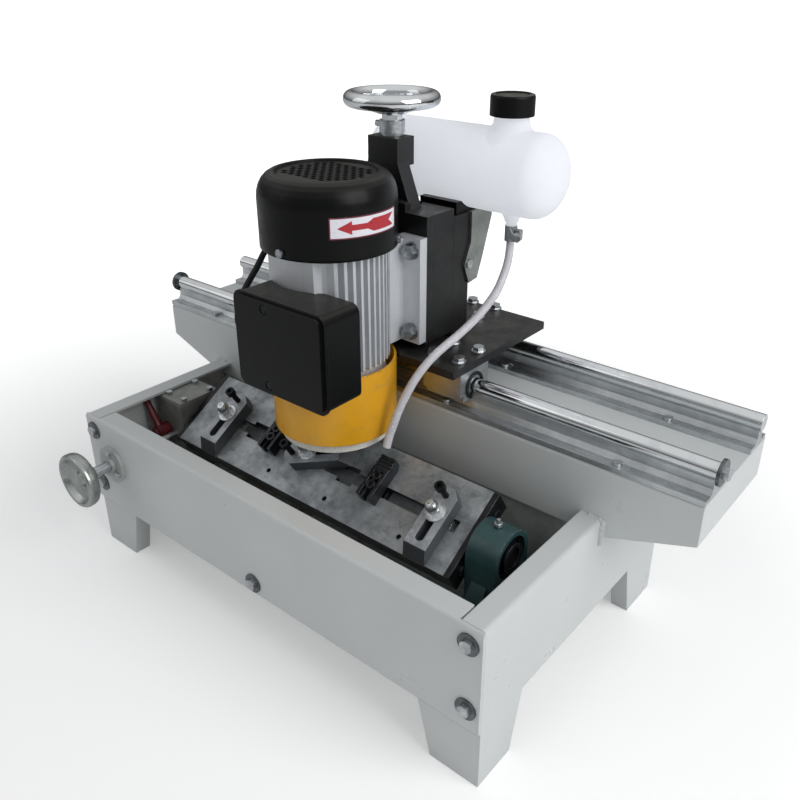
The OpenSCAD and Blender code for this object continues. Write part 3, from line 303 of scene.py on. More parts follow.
class Finish:
    """A surface finish: one Principled shader and the nodes that vary it over the part."""

    def __init__(self, name, **sockets):
        self.material = bpy.data.materials.new(name)
        self.material.use_nodes = True
        self.nodes = self.material.node_tree.nodes
        self.links = self.material.node_tree.links
        self.shader = self.nodes["Principled BSDF"]
        for socket, value in sockets.items():
            self.shader.inputs[socket.replace("_", " ")].default_value = value
        where = self.nodes.new("ShaderNodeTexCoord")
        self.place = where.outputs["Object"]
        self.outward = where.outputs["Normal"]

    def add(self, kind, inputs=None, **settings):
        """A new node of this finish."""
        return add_node(self.material.node_tree, kind, inputs, **settings)

    def grain(self, size, stretch=(1, 1, 1), detail=4.0, roughness=0.6, shift=0.0):
        """Noise from 0 to 1 with grains of that size in metres, longer along the stretched axes."""
        scale = [1 / (size * s) for s in stretch]
        mapped = self.add("Mapping", {"Vector": self.place, "Scale": scale, "Location": [shift] * 3})
        noise = self.add("TexNoise", {"Vector": mapped.outputs[0], "Scale": 1.0, "Detail": detail,
                                      "Roughness": roughness})
        return noise.outputs[0]

    def specks(self, size):
        """Distance to scattered points, in units of their spacing."""
        mapped = self.add("Mapping", {"Vector": self.place, "Scale": [1 / size] * 3})
        return self.add("TexVoronoi", {"Vector": mapped.outputs[0], "Scale": 1.0}).outputs["Distance"]

    def span(self, value, low, high, start=0.0, end=1.0):
        """The value's run from low to high, drawn out from start to end."""
        return self.add("MapRange", {"Value": value, "From Min": low, "From Max": high, "To Min": start,
                                     "To Max": end}).outputs["Result"]

    def product(self, a, b):
        """Both values multiplied, kept from 0 to 1."""
        return self.add("Math", {0: a, 1: b}, operation="MULTIPLY", use_clamp=True).outputs[0]

    def total(self, a, b):
        """Both values added, kept from 0 to 1."""
        return self.add("Math", {0: a, 1: b}, operation="ADD", use_clamp=True).outputs[0]

    def mix(self, amount, first, second):
        """The first colour where the amount is 0, the second where it is 1."""
        return self.add("Mix", {0: amount, 6: first, 7: second}, data_type="RGBA").outputs[2]

    def along(self, direction, vector=None):
        """The part of the place, or of another vector, along a direction."""
        return self.add("VectorMath", {0: vector or self.place, 1: tuple(direction)},
                        operation="DOT_PRODUCT").outputs["Value"]

    def facing(self, direction, low=0.6, high=0.85):
        """1 on faces that look along the direction, 0 elsewhere."""
        return self.span(self.along(direction, self.outward), low, high)

    def edges(self, radius, low=0.985, high=0.8):
        """1 along sharp edges, fading to 0 within the radius."""
        rounded = self.add("Bevel", {"Radius": radius}, samples=4).outputs[0]
        plain = self.add("NewGeometry").outputs["Normal"]
        match = self.add("VectorMath", {0: rounded, 1: plain}, operation="DOT_PRODUCT").outputs["Value"]
        return self.span(match, low, high)

    def cloud(self, size, stretch=(1, 1, 1), detail=4.0):
        """Soft blotches of that size, from 0 to 1."""
        return self.span(self.grain(size, stretch, detail), 0.35, 0.65)

    def worn(self, radius, size, low, high, start=0.0, end=1.0):
        """Wear along the edges within the radius, broken up by grains of that size."""
        return self.product(self.edges(radius), self.span(self.grain(size), low, high, start, end))

    def colour(self, value):
        """Sets the colour from a value that varies."""
        self.links.new(value, self.shader.inputs["Base Color"])

    def gloss(self, value):
        """Sets the roughness from a value that varies."""
        self.links.new(value, self.shader.inputs["Roughness"])

    def uneven_gloss(self, size, low, high):
        """Roughness that wanders from low to high over grains of that size."""
        self.gloss(self.span(self.grain(size), 0.3, 0.7, low, high))

    def relief(self, height, depth, edge=0.0):
        """Relief of that depth in metres, with edges rounded to the radius edge."""
        bump = self.add("Bump", {"Height": height, "Distance": depth, "Strength": 1.0})
        if edge:
            rounded = self.add("Bevel", {"Radius": edge}, samples=4)
            self.links.new(rounded.outputs[0], bump.inputs["Normal"])
        self.links.new(bump.outputs[0], self.shader.inputs["Normal"])


def toned(paint, share):
    """The paint at a share of its brightness."""
    return [c * share for c in paint[:3]] + [1.0]


def base_coat(name, paint):
    """Pale powder coat: faint orange peel, soft cloudiness, a few scuffs and some dirt near the floor."""
    f = Finish(name, Specular_IOR_Level=0.5)
    cloud = f.cloud(0.16, detail=3)
    scuff = f.span(f.grain(0.02, (5, 2, 1), detail=6), 0.62, 0.76, 0.0, 0.3)
    low = f.span(f.along(UP), 0.03, 0.0, 0.0, 0.35)
    tone = f.mix(cloud, toned(paint, 0.955), paint)
    tone = f.mix(scuff, tone, toned(paint, 0.9))
    f.colour(f.mix(f.product(low, f.grain(0.02)), tone, toned(paint, 0.7)))
    f.uneven_gloss(0.05, 0.27, 0.38)
    f.relief(f.grain(0.0022, detail=2), 0.00005, 0.0014)
    return f.material


def trough_coat(name, paint):
    """The trough's paint, set darker than the base as painted shade, under dried coolant, rust-brown silt
    and grinding dust.
    """
    f = Finish(name, Specular_IOR_Level=0.4)
    up = f.facing(UP)
    silt = f.span(f.grain(0.06, detail=6), 0.46, 0.62)
    dust = f.span(f.grain(0.0016, detail=3), 0.52, 0.7, 0.0, 0.7)
    tone = f.mix(f.span(f.grain(0.03), 0.4, 0.7), paint, toned(paint, 0.8))
    tone = f.mix(f.product(silt, f.span(up, 0, 1, 0.25, 0.8)), tone, ink("#7d7263"))
    f.colour(f.mix(f.product(dust, up), tone, ink("#4c4a46")))
    f.gloss(f.span(silt, 0, 1, 0.4, 0.8))
    f.relief(f.grain(0.002), 0.0001, 0.001)
    return f.material


def drawn_alu(name, streak=(150, 1, 1), light="#e1e4e6", dark="#b3b8bb"):
    """Bare light metal, extruded, milled or plated, with fine lines along one axis."""
    f = Finish(name, Metallic=1.0)
    lines = f.grain(0.0005, streak, detail=3)
    cloud = f.grain(0.03, detail=4)
    f.colour(f.mix(f.span(f.product(lines, cloud), 0.15, 0.4), ink(dark), ink(light)))
    f.gloss(f.span(lines, 0.3, 0.7, 0.3, 0.46))
    f.relief(lines, 0.00003, 0.0006)
    return f.material


def ground_chrome(name, stretch):
    """Hard chrome with faint grinding rings and oily smudges."""
    f = Finish(name, Metallic=1.0)
    rings = f.grain(0.0006, stretch, detail=2)
    smudge = f.span(f.grain(0.025, detail=5), 0.5, 0.75, 0.0, 0.6)
    f.colour(f.mix(smudge, ink("#e0e3e5"), ink("#bfc3c6")))
    f.gloss(f.span(f.total(f.product(rings, 0.4), smudge), 0.2, 1.2, 0.08, 0.24))
    f.relief(rings, 0.000006, 0.0006)
    return f.material


def zinc_plate(name, washers=False):
    """Zinc plated fasteners, a little cloudy, with dull washers on the panel and rod ends where asked."""
    f = Finish(name, Metallic=1.0)
    cloud = f.cloud(0.004, detail=4)
    tone = f.mix(cloud, ink("#a9adb0"), ink("#cdd0d2"))
    if washers:
        dull = f.mix(cloud, ink("#5d6265"), ink("#74797c"))
        depth = f.along(BACK)
        reach = f.add("Math", {0: f.along(RIGHT)}, operation="ABSOLUTE").outputs[0]
        rod_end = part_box("rail_shafts")[1].x
        slack, fade = 0.0003, 0.0001
        for value, start, end in ((depth, PANEL_FACE - PANEL_WASHER, PANEL_FACE + slack),
                                  (reach, rod_end - slack, rod_end + ROD_WASHER)):
            past = f.span(value, start, start + fade)
            short = f.span(value, end, end + fade, 1.0, 0.0)
            tone = f.mix(f.product(past, short), tone, dull)
    f.colour(f.mix(f.span(f.grain(0.011), 0.62, 0.75, 0.0, 0.35), tone, ink("#85837c")))
    f.gloss(f.span(cloud, 0, 1, 0.38, 0.26))
    f.relief(f.grain(0.0008), 0.00002, 0.0005)
    return f.material


def head_hardware(name):
    """Zinc plated bolts on the motor, with blackened screws in the terminal lid."""
    f = Finish(name, Metallic=1.0)
    cloud = f.cloud(0.004, detail=4)
    screw_end, fade = 0.004, 0.001
    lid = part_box("terminal_cover")[1].y + screw_end
    front = f.span(f.along(BACK), lid, lid + fade, 1.0, 0.0)
    tone = f.mix(cloud, ink("#7b8084"), ink("#aeb2b5"))
    f.colour(f.mix(front, tone, f.mix(cloud, ink("#17181a"), ink("#34363a"))))
    f.gloss(f.span(cloud, 0, 1, 0.42, 0.26))
    f.relief(f.grain(0.0008), 0.00002, 0.0005)
    return f.material


def black_coat(name, paint, bare=0.0):
    """Textured black coat, scraped, with settled dust on top faces and, where bare, brownish worn edges."""
    f = Finish(name, Specular_IOR_Level=0.45)
    dust = f.product(f.facing(UP), f.span(f.grain(0.018, detail=6), 0.4, 0.75, 0.03, 0.3))
    tone = f.mix(f.cloud(0.05), toned(paint, 0.75), paint)
    tone = f.mix(dust, tone, ink("#6b6861"))
    scrape = f.span(f.grain(0.004, (1, 1, 6), detail=5), 0.66, 0.72, 0.0, 0.35)
    tone = f.mix(scrape, tone, ink("#4a4a4b"))
    if bare:
        worn = f.worn(0.0012, 0.006, 0.48, 0.66, 0.0, bare)
        tone = f.mix(worn, tone, ink("#5d544b"))
    f.colour(tone)
    f.uneven_gloss(0.02, 0.36, 0.52)
    f.relief(f.grain(0.0012, detail=2), 0.00005, 0.0009)
    return f.material


def satin_black(name, paint, grain=0.0016, depth=0.00002, dusty=0.0, gloss=0.34, edge=0.0009):
    """Black enamel or moulded plastic with fine scratches, and dust on top where asked."""
    f = Finish(name, Specular_IOR_Level=0.18)
    tone = f.mix(f.cloud(0.03), toned(paint, 0.7), paint)
    scratch = f.span(f.grain(0.0018, (9, 2, 1), detail=3), 0.7, 0.74, 0.0, 0.4)
    tone = f.mix(scratch, tone, ink("#3a3b3d"))
    if dusty:
        film = f.product(f.facing(UP), f.span(f.grain(0.006, detail=6), 0.35, 0.7, 0.1, dusty))
        tone = f.mix(film, tone, ink("#8a877f"))
    f.colour(tone)
    f.uneven_gloss(0.012, gloss - 0.05, gloss + 0.1)
    f.relief(f.grain(grain, detail=2), depth, edge)
    return f.material


def cast_silver(name, paint):
    """Die-cast aluminium under thin silver paint, cloudy and a little stained."""
    f = Finish(name, Metallic=0.3, Specular_IOR_Level=0.5)
    cloud = f.span(f.grain(0.035, (1, 1, 2), detail=5), 0.35, 0.68)
    stain = f.span(f.grain(0.012, (1, 1, 3), detail=6), 0.62, 0.74, 0.0, 0.4)
    tone = f.mix(cloud, toned(paint, 0.86), paint)
    f.colour(f.mix(stain, tone, ink("#7e8083")))
    f.uneven_gloss(0.01, 0.36, 0.54)
    f.relief(f.grain(0.0015, detail=3), 0.00007, 0.0007)
    return f.material


def guard_yellow(name, paint):
    """Yellow enamel with dull patches and a few chips along the edges."""
    f = Finish(name, Coat_Weight=0.25, Coat_Roughness=0.2)
    cloud = f.cloud(0.045, detail=4)
    chip = f.worn(0.003, 0.004, 0.55, 0.66)
    tone = f.mix(cloud, toned(paint, 0.86), paint)
    grey = f.span(f.grain(0.014, (2, 2, 1), detail=6), 0.58, 0.75, 0.0, 0.35)
    tone = f.mix(grey, tone, ink("#a98f58"))
    f.colour(f.mix(chip, tone, ink("#6b5330")))
    f.uneven_gloss(0.02, 0.3, 0.46)
    f.relief(f.grain(0.0025, detail=2), 0.00005, 0.0009)
    return f.material


def abrasive_grain(name):
    """White vitrified abrasive: coarse grains and soiled patches."""
    f = Finish(name, Specular_IOR_Level=0.3, Roughness=0.92)
    grit = f.specks(0.0011)
    tone = f.mix(f.span(grit, 0.1, 0.6), ink("#f4f2ec"), ink("#d9d6cc"))
    f.colour(f.mix(f.span(f.grain(0.006), 0.55, 0.75, 0.0, 0.45), tone, ink("#b7b1a4")))
    f.relief(grit, 0.0003)
    return f.material


def glowing_milky_plastic(name, paint):
    """Blown polyethylene, milky and slightly uneven, with a painted glow: emission lights it though it is
    no lamp.
    """
    # Painted glow: the emission makes the tank shine by itself, though it is no lamp.
    f = Finish(name, Subsurface_Weight=0.5, Subsurface_Radius=(1.0, 1.0, 1.0), Subsurface_Scale=0.012,
               Specular_IOR_Level=0.45, Transmission_Weight=0.3, IOR=1.2,
               Emission_Color=(0.95, 0.97, 1.0, 1.0), Emission_Strength=0.29)
    cloud = f.cloud(0.05, detail=3)
    scuff = f.span(f.grain(0.008, (4, 1, 1), detail=6), 0.66, 0.76, 0.0, 0.4)
    tone = f.mix(cloud, toned(paint, 0.96), paint)
    f.colour(f.mix(scuff, tone, toned(paint, 0.9)))
    f.uneven_gloss(0.02, 0.4, 0.55)
    f.relief(f.grain(0.018, detail=2), 0.0006, 0.006)
    return f.material


def soft_tube(name, paint):
    """Clear soft tube gone slightly milky."""
    f = Finish(name, Transmission_Weight=0.2, IOR=1.3, Subsurface_Weight=0.4,
               Subsurface_Radius=(1.0, 1.0, 1.0), Subsurface_Scale=0.004)
    f.colour(f.mix(f.span(f.grain(0.01, detail=4), 0.35, 0.7), paint, toned(paint, 0.88)))
    f.uneven_gloss(0.006, 0.16, 0.3)
    f.relief(f.grain(0.004), 0.00005)
    return f.material


def ground_steel(name, bright, dull, side, lines=(70, 1, 1)):
    """Ground steel, scratched, stained and pitted on the working face and darker on the others."""
    f = Finish(name, Metallic=0.4)
    face = f.facing(TABLE_UP, 0.8, 0.95)
    blotch = f.span(f.grain(0.035, detail=6), 0.36, 0.64)
    scratch = f.span(f.grain(0.0006, lines, detail=3), 0.5, 0.72)
    stain = f.span(f.grain(0.011, detail=7, shift=3.0), 0.52, 0.68, 0.0, 0.55)
    pits = f.span(f.grain(0.0022, detail=3, shift=7.0), 0.66, 0.72, 0.0, 0.6)
    top = f.mix(blotch, dull, bright)
    top = f.mix(f.product(scratch, 0.22), top, toned(bright, 1.3))
    top = f.mix(stain, top, toned(dull, 0.6))
    top = f.mix(pits, top, toned(dull, 0.35))
    worn = f.worn(0.0015, 0.006, 0.4, 0.6, 0.1, 0.7)
    flank = f.mix(worn, side, bright)
    f.colour(f.mix(face, flank, top))
    f.gloss(f.span(blotch, 0, 1, 0.52, 0.34))
    f.relief(f.grain(0.0008, lines), 0.00003, 0.0008)
    return f.material


def blackened(name, deep="#17181a", pale="#2b2c2f", metal=0.6):
    """Blackened steel, rubbed bright along its edges."""
    f = Finish(name, Metallic=metal)
    tone = f.mix(f.cloud(0.012, detail=5), ink(deep), ink(pale))
    worn = f.worn(0.0012, 0.005, 0.35, 0.6, 0.15, 0.8)
    f.colour(f.mix(worn, tone, ink("#77797c")))
    f.uneven_gloss(0.006, 0.34, 0.52)
    f.relief(f.grain(0.0012), 0.00004, 0.0007)
    return f.material


def casting(name, paint, metal=0.0, grit=0.0026, depth=0.0002, wear="#8f9290", gloss=0.4):
    """Painted or bare sand casting with a pebbled skin and rubbed edges."""
    f = Finish(name, Metallic=metal)
    cloud = f.cloud(0.02, detail=5)
    worn = f.worn(0.0018, 0.004, 0.42, 0.62, 0.0, 0.6)
    tone = f.mix(cloud, toned(paint, 0.72), paint)
    f.colour(f.mix(worn, tone, ink(wear)))
    f.uneven_gloss(0.008, gloss, gloss + 0.2)
    f.relief(f.grain(grit, detail=3), depth, 0.0012)
    return f.material


def glossy_grip(name, paint):
    """Dark red moulded grip, greasy from use."""
    f = Finish(name, Coat_Weight=0.3, Coat_Roughness=0.18)
    f.colour(f.mix(f.span(f.grain(0.008, detail=5), 0.4, 0.7), paint, toned(paint, 0.5)))
    f.uneven_gloss(0.004, 0.28, 0.5)
    f.relief(f.grain(0.0014), 0.00005, 0.0012)
    return f.material


def bronze(name):
    """Turned bronze with fine tool lines."""
    f = Finish(name, Metallic=1.0)
    f.colour(f.mix(f.cloud(0.006, detail=5), ink("#8c6b35"), ink("#bb974f")))
    f.uneven_gloss(0.003, 0.28, 0.44)
    f.relief(f.grain(0.0006, (1, 20, 20)), 0.00002, 0.0005)
    return f.material


def rubber(name):
    """Matt black rubber."""
    f = Finish(name, Specular_IOR_Level=0.35)
    f.colour(f.mix(f.span(f.grain(0.01, detail=5), 0.4, 0.7), ink("#101112"), ink("#232426")))
    f.uneven_gloss(0.004, 0.5, 0.7)
    f.relief(f.grain(0.0009), 0.00005)
    return f.material


def printed_film(name, paint):
    """Printed vinyl film, faintly soiled."""
    f = Finish(name, Specular_IOR_Level=0.5)
    f.colour(f.mix(f.span(f.grain(0.006, detail=6), 0.5, 0.75, 0.0, 0.5), paint, toned(paint, 0.8)))
    f.uneven_gloss(0.01, 0.26, 0.4)
    f.relief(f.grain(0.004), 0.00004)
    return f.material


def clamp_hardware(name, stud, towards_jack):
    """Bright stud, nut and washer, with the jack screw beside them in black oxide."""
    f = Finish(name, Metallic=0.75)
    reach = f.along(towards_jack)
    fade = 0.0006
    start = stud.dot(towards_jack) + JACK_SCREW_FROM
    jack = f.span(reach, start, start + fade)
    cloud = f.cloud(0.003, detail=4)
    bright = f.mix(cloud, ink("#cfd2d4"), ink("#eceeef"))
    black = f.mix(cloud, ink("#101113"), ink("#26272a"))
    f.colour(f.mix(jack, bright, black))
    f.gloss(f.span(f.total(jack, f.product(cloud, 0.3)), 0, 1.3, 0.26, 0.48))
    f.relief(f.grain(0.0007), 0.00002, 0.0006)
    return f.material


def stud_foot(side):
    """Where a clamp's stud meets the plane through the table's axis."""
    low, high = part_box("table")
    whole = high.x - low.x + BOTH_END_PLATES
    return TABLE_AXIS + Vector(((low.x + high.x) / 2 + CLAMP_SHARES[side] * whole, 0, 0))


def paint_node(node, finish):
    """Puts the finish on a piece of the frame."""
    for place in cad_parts[node].material_slots:
        place.material = finish


# Operators

class GRINDER_OT_stage(Operator):
    """Floor, soft studio light and the camera"""
    bl_idname = "grinder.stage"
    bl_label = "Stage"

    def execute(self, context):
        look = context.scene.grinder_stage
        context.scene.view_settings.view_transform = "Standard"
        self.lay_floor(look.floor)
        context.scene.world = self.studio_sky(look.sky)
        self.hang_lamp("key", KEY_PLACE, look.key)
        self.hang_lamp("fill", FILL_PLACE, look.fill)
        context.scene.camera = self.place_camera(look.lens)
        return {"FINISHED"}

    def lay_floor(self, size):
        """A pale floor that glows to the camera, fully only away from the part."""
        deselect()
        bpy.ops.mesh.primitive_plane_add(size=size)
        floor = bpy.context.object
        floor.name = "studio_floor"
        f = Finish("studio_floor", Roughness=0.9, Specular_IOR_Level=0.1)
        f.colour(f.mix(f.grain(0.6), ink("#f4f4f4"), ink("#f7f7f7")))
        ray = f.add("LightPath").outputs
        seen = f.total(ray["Is Camera Ray"], ray["Is Transmission Ray"])
        away = f.add("VectorMath", {0: f.place}, operation="LENGTH").outputs["Value"]
        near, far, faint, full = 0.45, 1.4, 0.28, 0.9
        white = f.product(seen, f.span(away, near, far, faint, full))
        glow = f.add("Emission", {"Color": WHITE, "Strength": white})
        both = f.add("AddShader", {0: f.shader.outputs[0], 1: glow.outputs[0]})
        f.links.new(both.outputs[0], f.nodes["Material Output"].inputs["Surface"])
        floor.data.materials.append(f.material)

    def studio_sky(self, strength):
        """Even light, white to the camera. Metal mirrors a room, dim at the sides and bright overhead."""
        world = bpy.data.worlds.new("studio_sky")
        world.use_nodes = True
        tree = world.node_tree
        sky = tree.nodes["Background"]
        sky.inputs["Strength"].default_value = strength
        sky.inputs["Color"].default_value = SKY_TINT
        white = add_node(tree, "Background", {"Color": WHITE})
        where = add_node(tree, "TexCoord").outputs["Generated"]
        height = add_node(tree, "SeparateXYZ", {0: where}).outputs["Z"]
        rise = add_node(tree, "MapRange", {"Value": height, "From Min": 0.05, "From Max": 0.75,
                                           "To Min": 0.1, "To Max": 0.95})
        room = add_node(tree, "Background", {"Strength": rise.outputs["Result"]})
        ray = add_node(tree, "LightPath").outputs
        lit = add_node(tree, "MixShader", {0: ray["Is Glossy Ray"], 1: sky.outputs[0], 2: room.outputs[0]})
        seen = add_node(tree, "Math", {0: ray["Is Camera Ray"], 1: ray["Is Transmission Ray"]},
                        operation="MAXIMUM")
        shown = add_node(tree, "MixShader", {0: seen.outputs[0], 1: lit.outputs[0], 2: white.outputs[0]})
        tree.links.new(shown.outputs[0], tree.nodes["World Output"].inputs["Surface"])
        return world

    def hang_lamp(self, name, place, power):
        """A square lamp that shines on the part."""
        bpy.ops.object.light_add(type="AREA", location=place)
        lamp = bpy.context.object
        lamp.name = "lamp_" + name
        lamp.data.energy = power
        lamp.data.size = LAMP_SIZE
        lamp.rotation_euler = (LAMP_TARGET - place).to_track_quat("-Z", "Y").to_euler()

    def place_camera(self, lens):
        """The camera where the photograph was taken."""
        bpy.ops.object.camera_add()
        camera = bpy.context.object
        camera.data.lens = lens
        camera.data.sensor_width = SENSOR
        camera.data.shift_x, camera.data.shift_y = CAMERA_SHIFT
        turn = Matrix((CAMERA_RIGHT, -CAMERA_DOWN, -CAMERA_AHEAD)).transposed()
        camera.matrix_world = Matrix.Translation(CAMERA_PLACE) @ turn.to_4x4()
        return camera


class GRINDER_OT_coolant_hose(Operator):
    """Clear hose from the tank spout to the grinding wheel"""
    bl_idname = "grinder.coolant_hose"
    bl_label = "Coolant Hose"

    def execute(self, context):
        fit = context.scene.grinder_fittings
        hose = tube("coolant_hose", HOSE_ROUTE, fit.hose_diameter, fit.hose_wall)
        clear = soft_tube("clear_hose", list(context.scene.grinder_paints.hose))
        dress(hose, clear, "carriage")
        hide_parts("hose")
        return {"FINISHED"}


class GRINDER_OT_motor_cable(Operator):
    """Cable from the terminal box to the clip beside the slide"""
    bl_idname = "grinder.motor_cable"
    bl_label = "Motor Cable"

    def execute(self, context):
        fit = context.scene.grinder_fittings
        cable = tube("motor_cable", CABLE_ROUTE, fit.cable_diameter)
        dress(cable, rubber("cable_sheath"), "head")
        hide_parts("cable")
        return {"FINISHED"}


class GRINDER_OT_finishes(Operator):
    """Finish of every machined, cast, painted and moulded part"""
    bl_idname = "grinder.finishes"
    bl_label = "Finishes"

    def execute(self, context):
        paints = context.scene.grinder_paints
        self.zinc = zinc_plate("zinc_plate")
        self.steel = blackened("black_steel")
        self.coat = black_coat("black_coat", list(paints.black))
        self.moulded = satin_black("moulded_black", list(paints.plastic), grain=0.0009, depth=0.00003,
                                   dusty=0.1, gloss=0.32)
        finishes = self.base(paints) | self.table() | self.carriage(paints) | self.head(paints)
        for node, finish in finishes.items():
            paint_node(node, finish)
        left = set(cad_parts) - set(finishes) - {"hose", "cable"}
        if left:
            raise RuntimeError("no finish for " + ", ".join(sorted(left)))
        return {"FINISHED"}

    def base(self, paints):
        """Sheet steel base, rails, bearing, gear housing and tilt drive."""
        coat = base_coat("base_coat", list(paints.base))
        return {
            "front_panel": coat,
            "side_frame_left": coat,
            "side_frame_right": coat,
            "rail_bed": coat,
            "trough_tray": trough_coat("trough_coat", list(paints.tray)),
            "rail_supports": drawn_alu("rail_alu"),
            "rail_shafts": ground_chrome("rod_chrome", (1, 60, 60)),
            "base_fasteners": zinc_plate("base_zinc", washers=True),
            "pillow_block": casting("bearing_cast", list(paints.bearing), gloss=0.28),
            "bearing_insert": self.steel,
            "gear_housing": casting("gear_cast", ink("#83837d"), metal=0.1),
            "gear_cover": casting("gear_cover_cast", ink("#9a9c98"), metal=0.2),
            "worm_flange": casting("flange_cast", ink("#c9cccb"), metal=0.5, grit=0.0012, depth=0.00005),
            "worm_shaft": self.zinc,
            "tilt_handwheel": casting("wheel_cast", ink("#b2b7b4"), metal=0.95, grit=0.0018, wear="#dfe2e1",
                                      gloss=0.2),
            "lock_lever": glossy_grip("lever_red", list(paints.lever)),
        }

    def table(self):
        """Tilting table with its worm wheel, clamps and gauge blocks."""
        gauge = blackened("gauge_steel", deep="#232528", pale="#3d4043")
        finishes = {
            "table": ground_steel("table_steel", ink("#adb2b5"), ink("#747a7d"), ink("#2a2c2e")),
            "trunnions": self.steel,
            "table_screws": self.steel,
            "worm_wheel": bronze("worm_bronze"),
            "gauge_left": gauge,
            "gauge_right": gauge,
            "gauge_left_screws": self.steel,
            "gauge_right_screws": self.steel,
        }
        bar = ground_steel("clamp_steel", ink("#b4b9bf"), ink("#8a8f94"), ink("#5b5f63"), lines=(1, 30, 20))
        for side, turn in CLAMP_TURNS.items():
            a = math.radians(turn)
            towards_jack = -math.sin(a) * RIGHT + math.cos(a) * TABLE_BACK
            hardware = clamp_hardware(f"clamp_{side}_hardware", stud_foot(side), towards_jack)
            finishes[f"clamp_{side}_bar"] = bar
            finishes[f"clamp_{side}_bolts"] = hardware
        return finishes

    def carriage(self, paints):
        """Carriage on its bearing blocks, with the column, the tank and what holds them."""
        return {
            "carriage_plate": self.coat,
            "bearing_blocks": drawn_alu("block_alu", (1, 40, 1), light="#c9ccce", dark="#a2a6aa"),
            "carriage_bolts": self.zinc,
            "column": self.coat,
            "lift_nut": bronze("nut_bronze"),
            "tank_bracket": drawn_alu("bracket_zinc", (1, 1, 20), light="#b4b9b4", dark="#8b908c"),
            "tank_saddle": self.moulded,
            "tank": glowing_milky_plastic("tank_plastic", list(paints.tank)),
            "tank_cap": satin_black("cap_black", list(paints.plastic), grain=0.0012, depth=0.00003,
                                    dusty=0.55, gloss=0.4),
            "hose_clip": casting("clip_steel", ink("#b4b8bb"), metal=0.6, grit=0.0012, depth=0.00005),
        }

    def head(self, paints):
        """Slide, motor, wheel guard, rotor and lift drive."""
        silver = cast_silver("motor_casting", list(paints.silver))
        finishes = {
            "slide_plate": black_coat("worn_black_coat", list(paints.black), bare=0.9),
            "slide_block": self.coat,
            "motor_housing": silver,
            "end_shield": silver,
            "fan_cover": satin_black("fan_cover_enamel", list(paints.plastic), grain=0.003, depth=0.00004,
                                     dusty=0.12, gloss=0.32, edge=0.004),
            "wheel_guard": guard_yellow("guard_yellow", list(paints.guard)),
            "head_bolts": head_hardware("head_hardware"),
            "rotor_shaft": self.steel,
            "cup_wheel": abrasive_grain("abrasive_grain"),
            "wheel_nut": self.zinc,
            "lift_screw": self.zinc,
            "lift_handwheel": ground_chrome("wheel_chrome", (30, 30, 1)),
        }
        for node in ("terminal_box", "terminal_cover", "cable_gland", "cable_clip", "cooling_fan"):
            finishes[node] = self.moulded
        return finishes


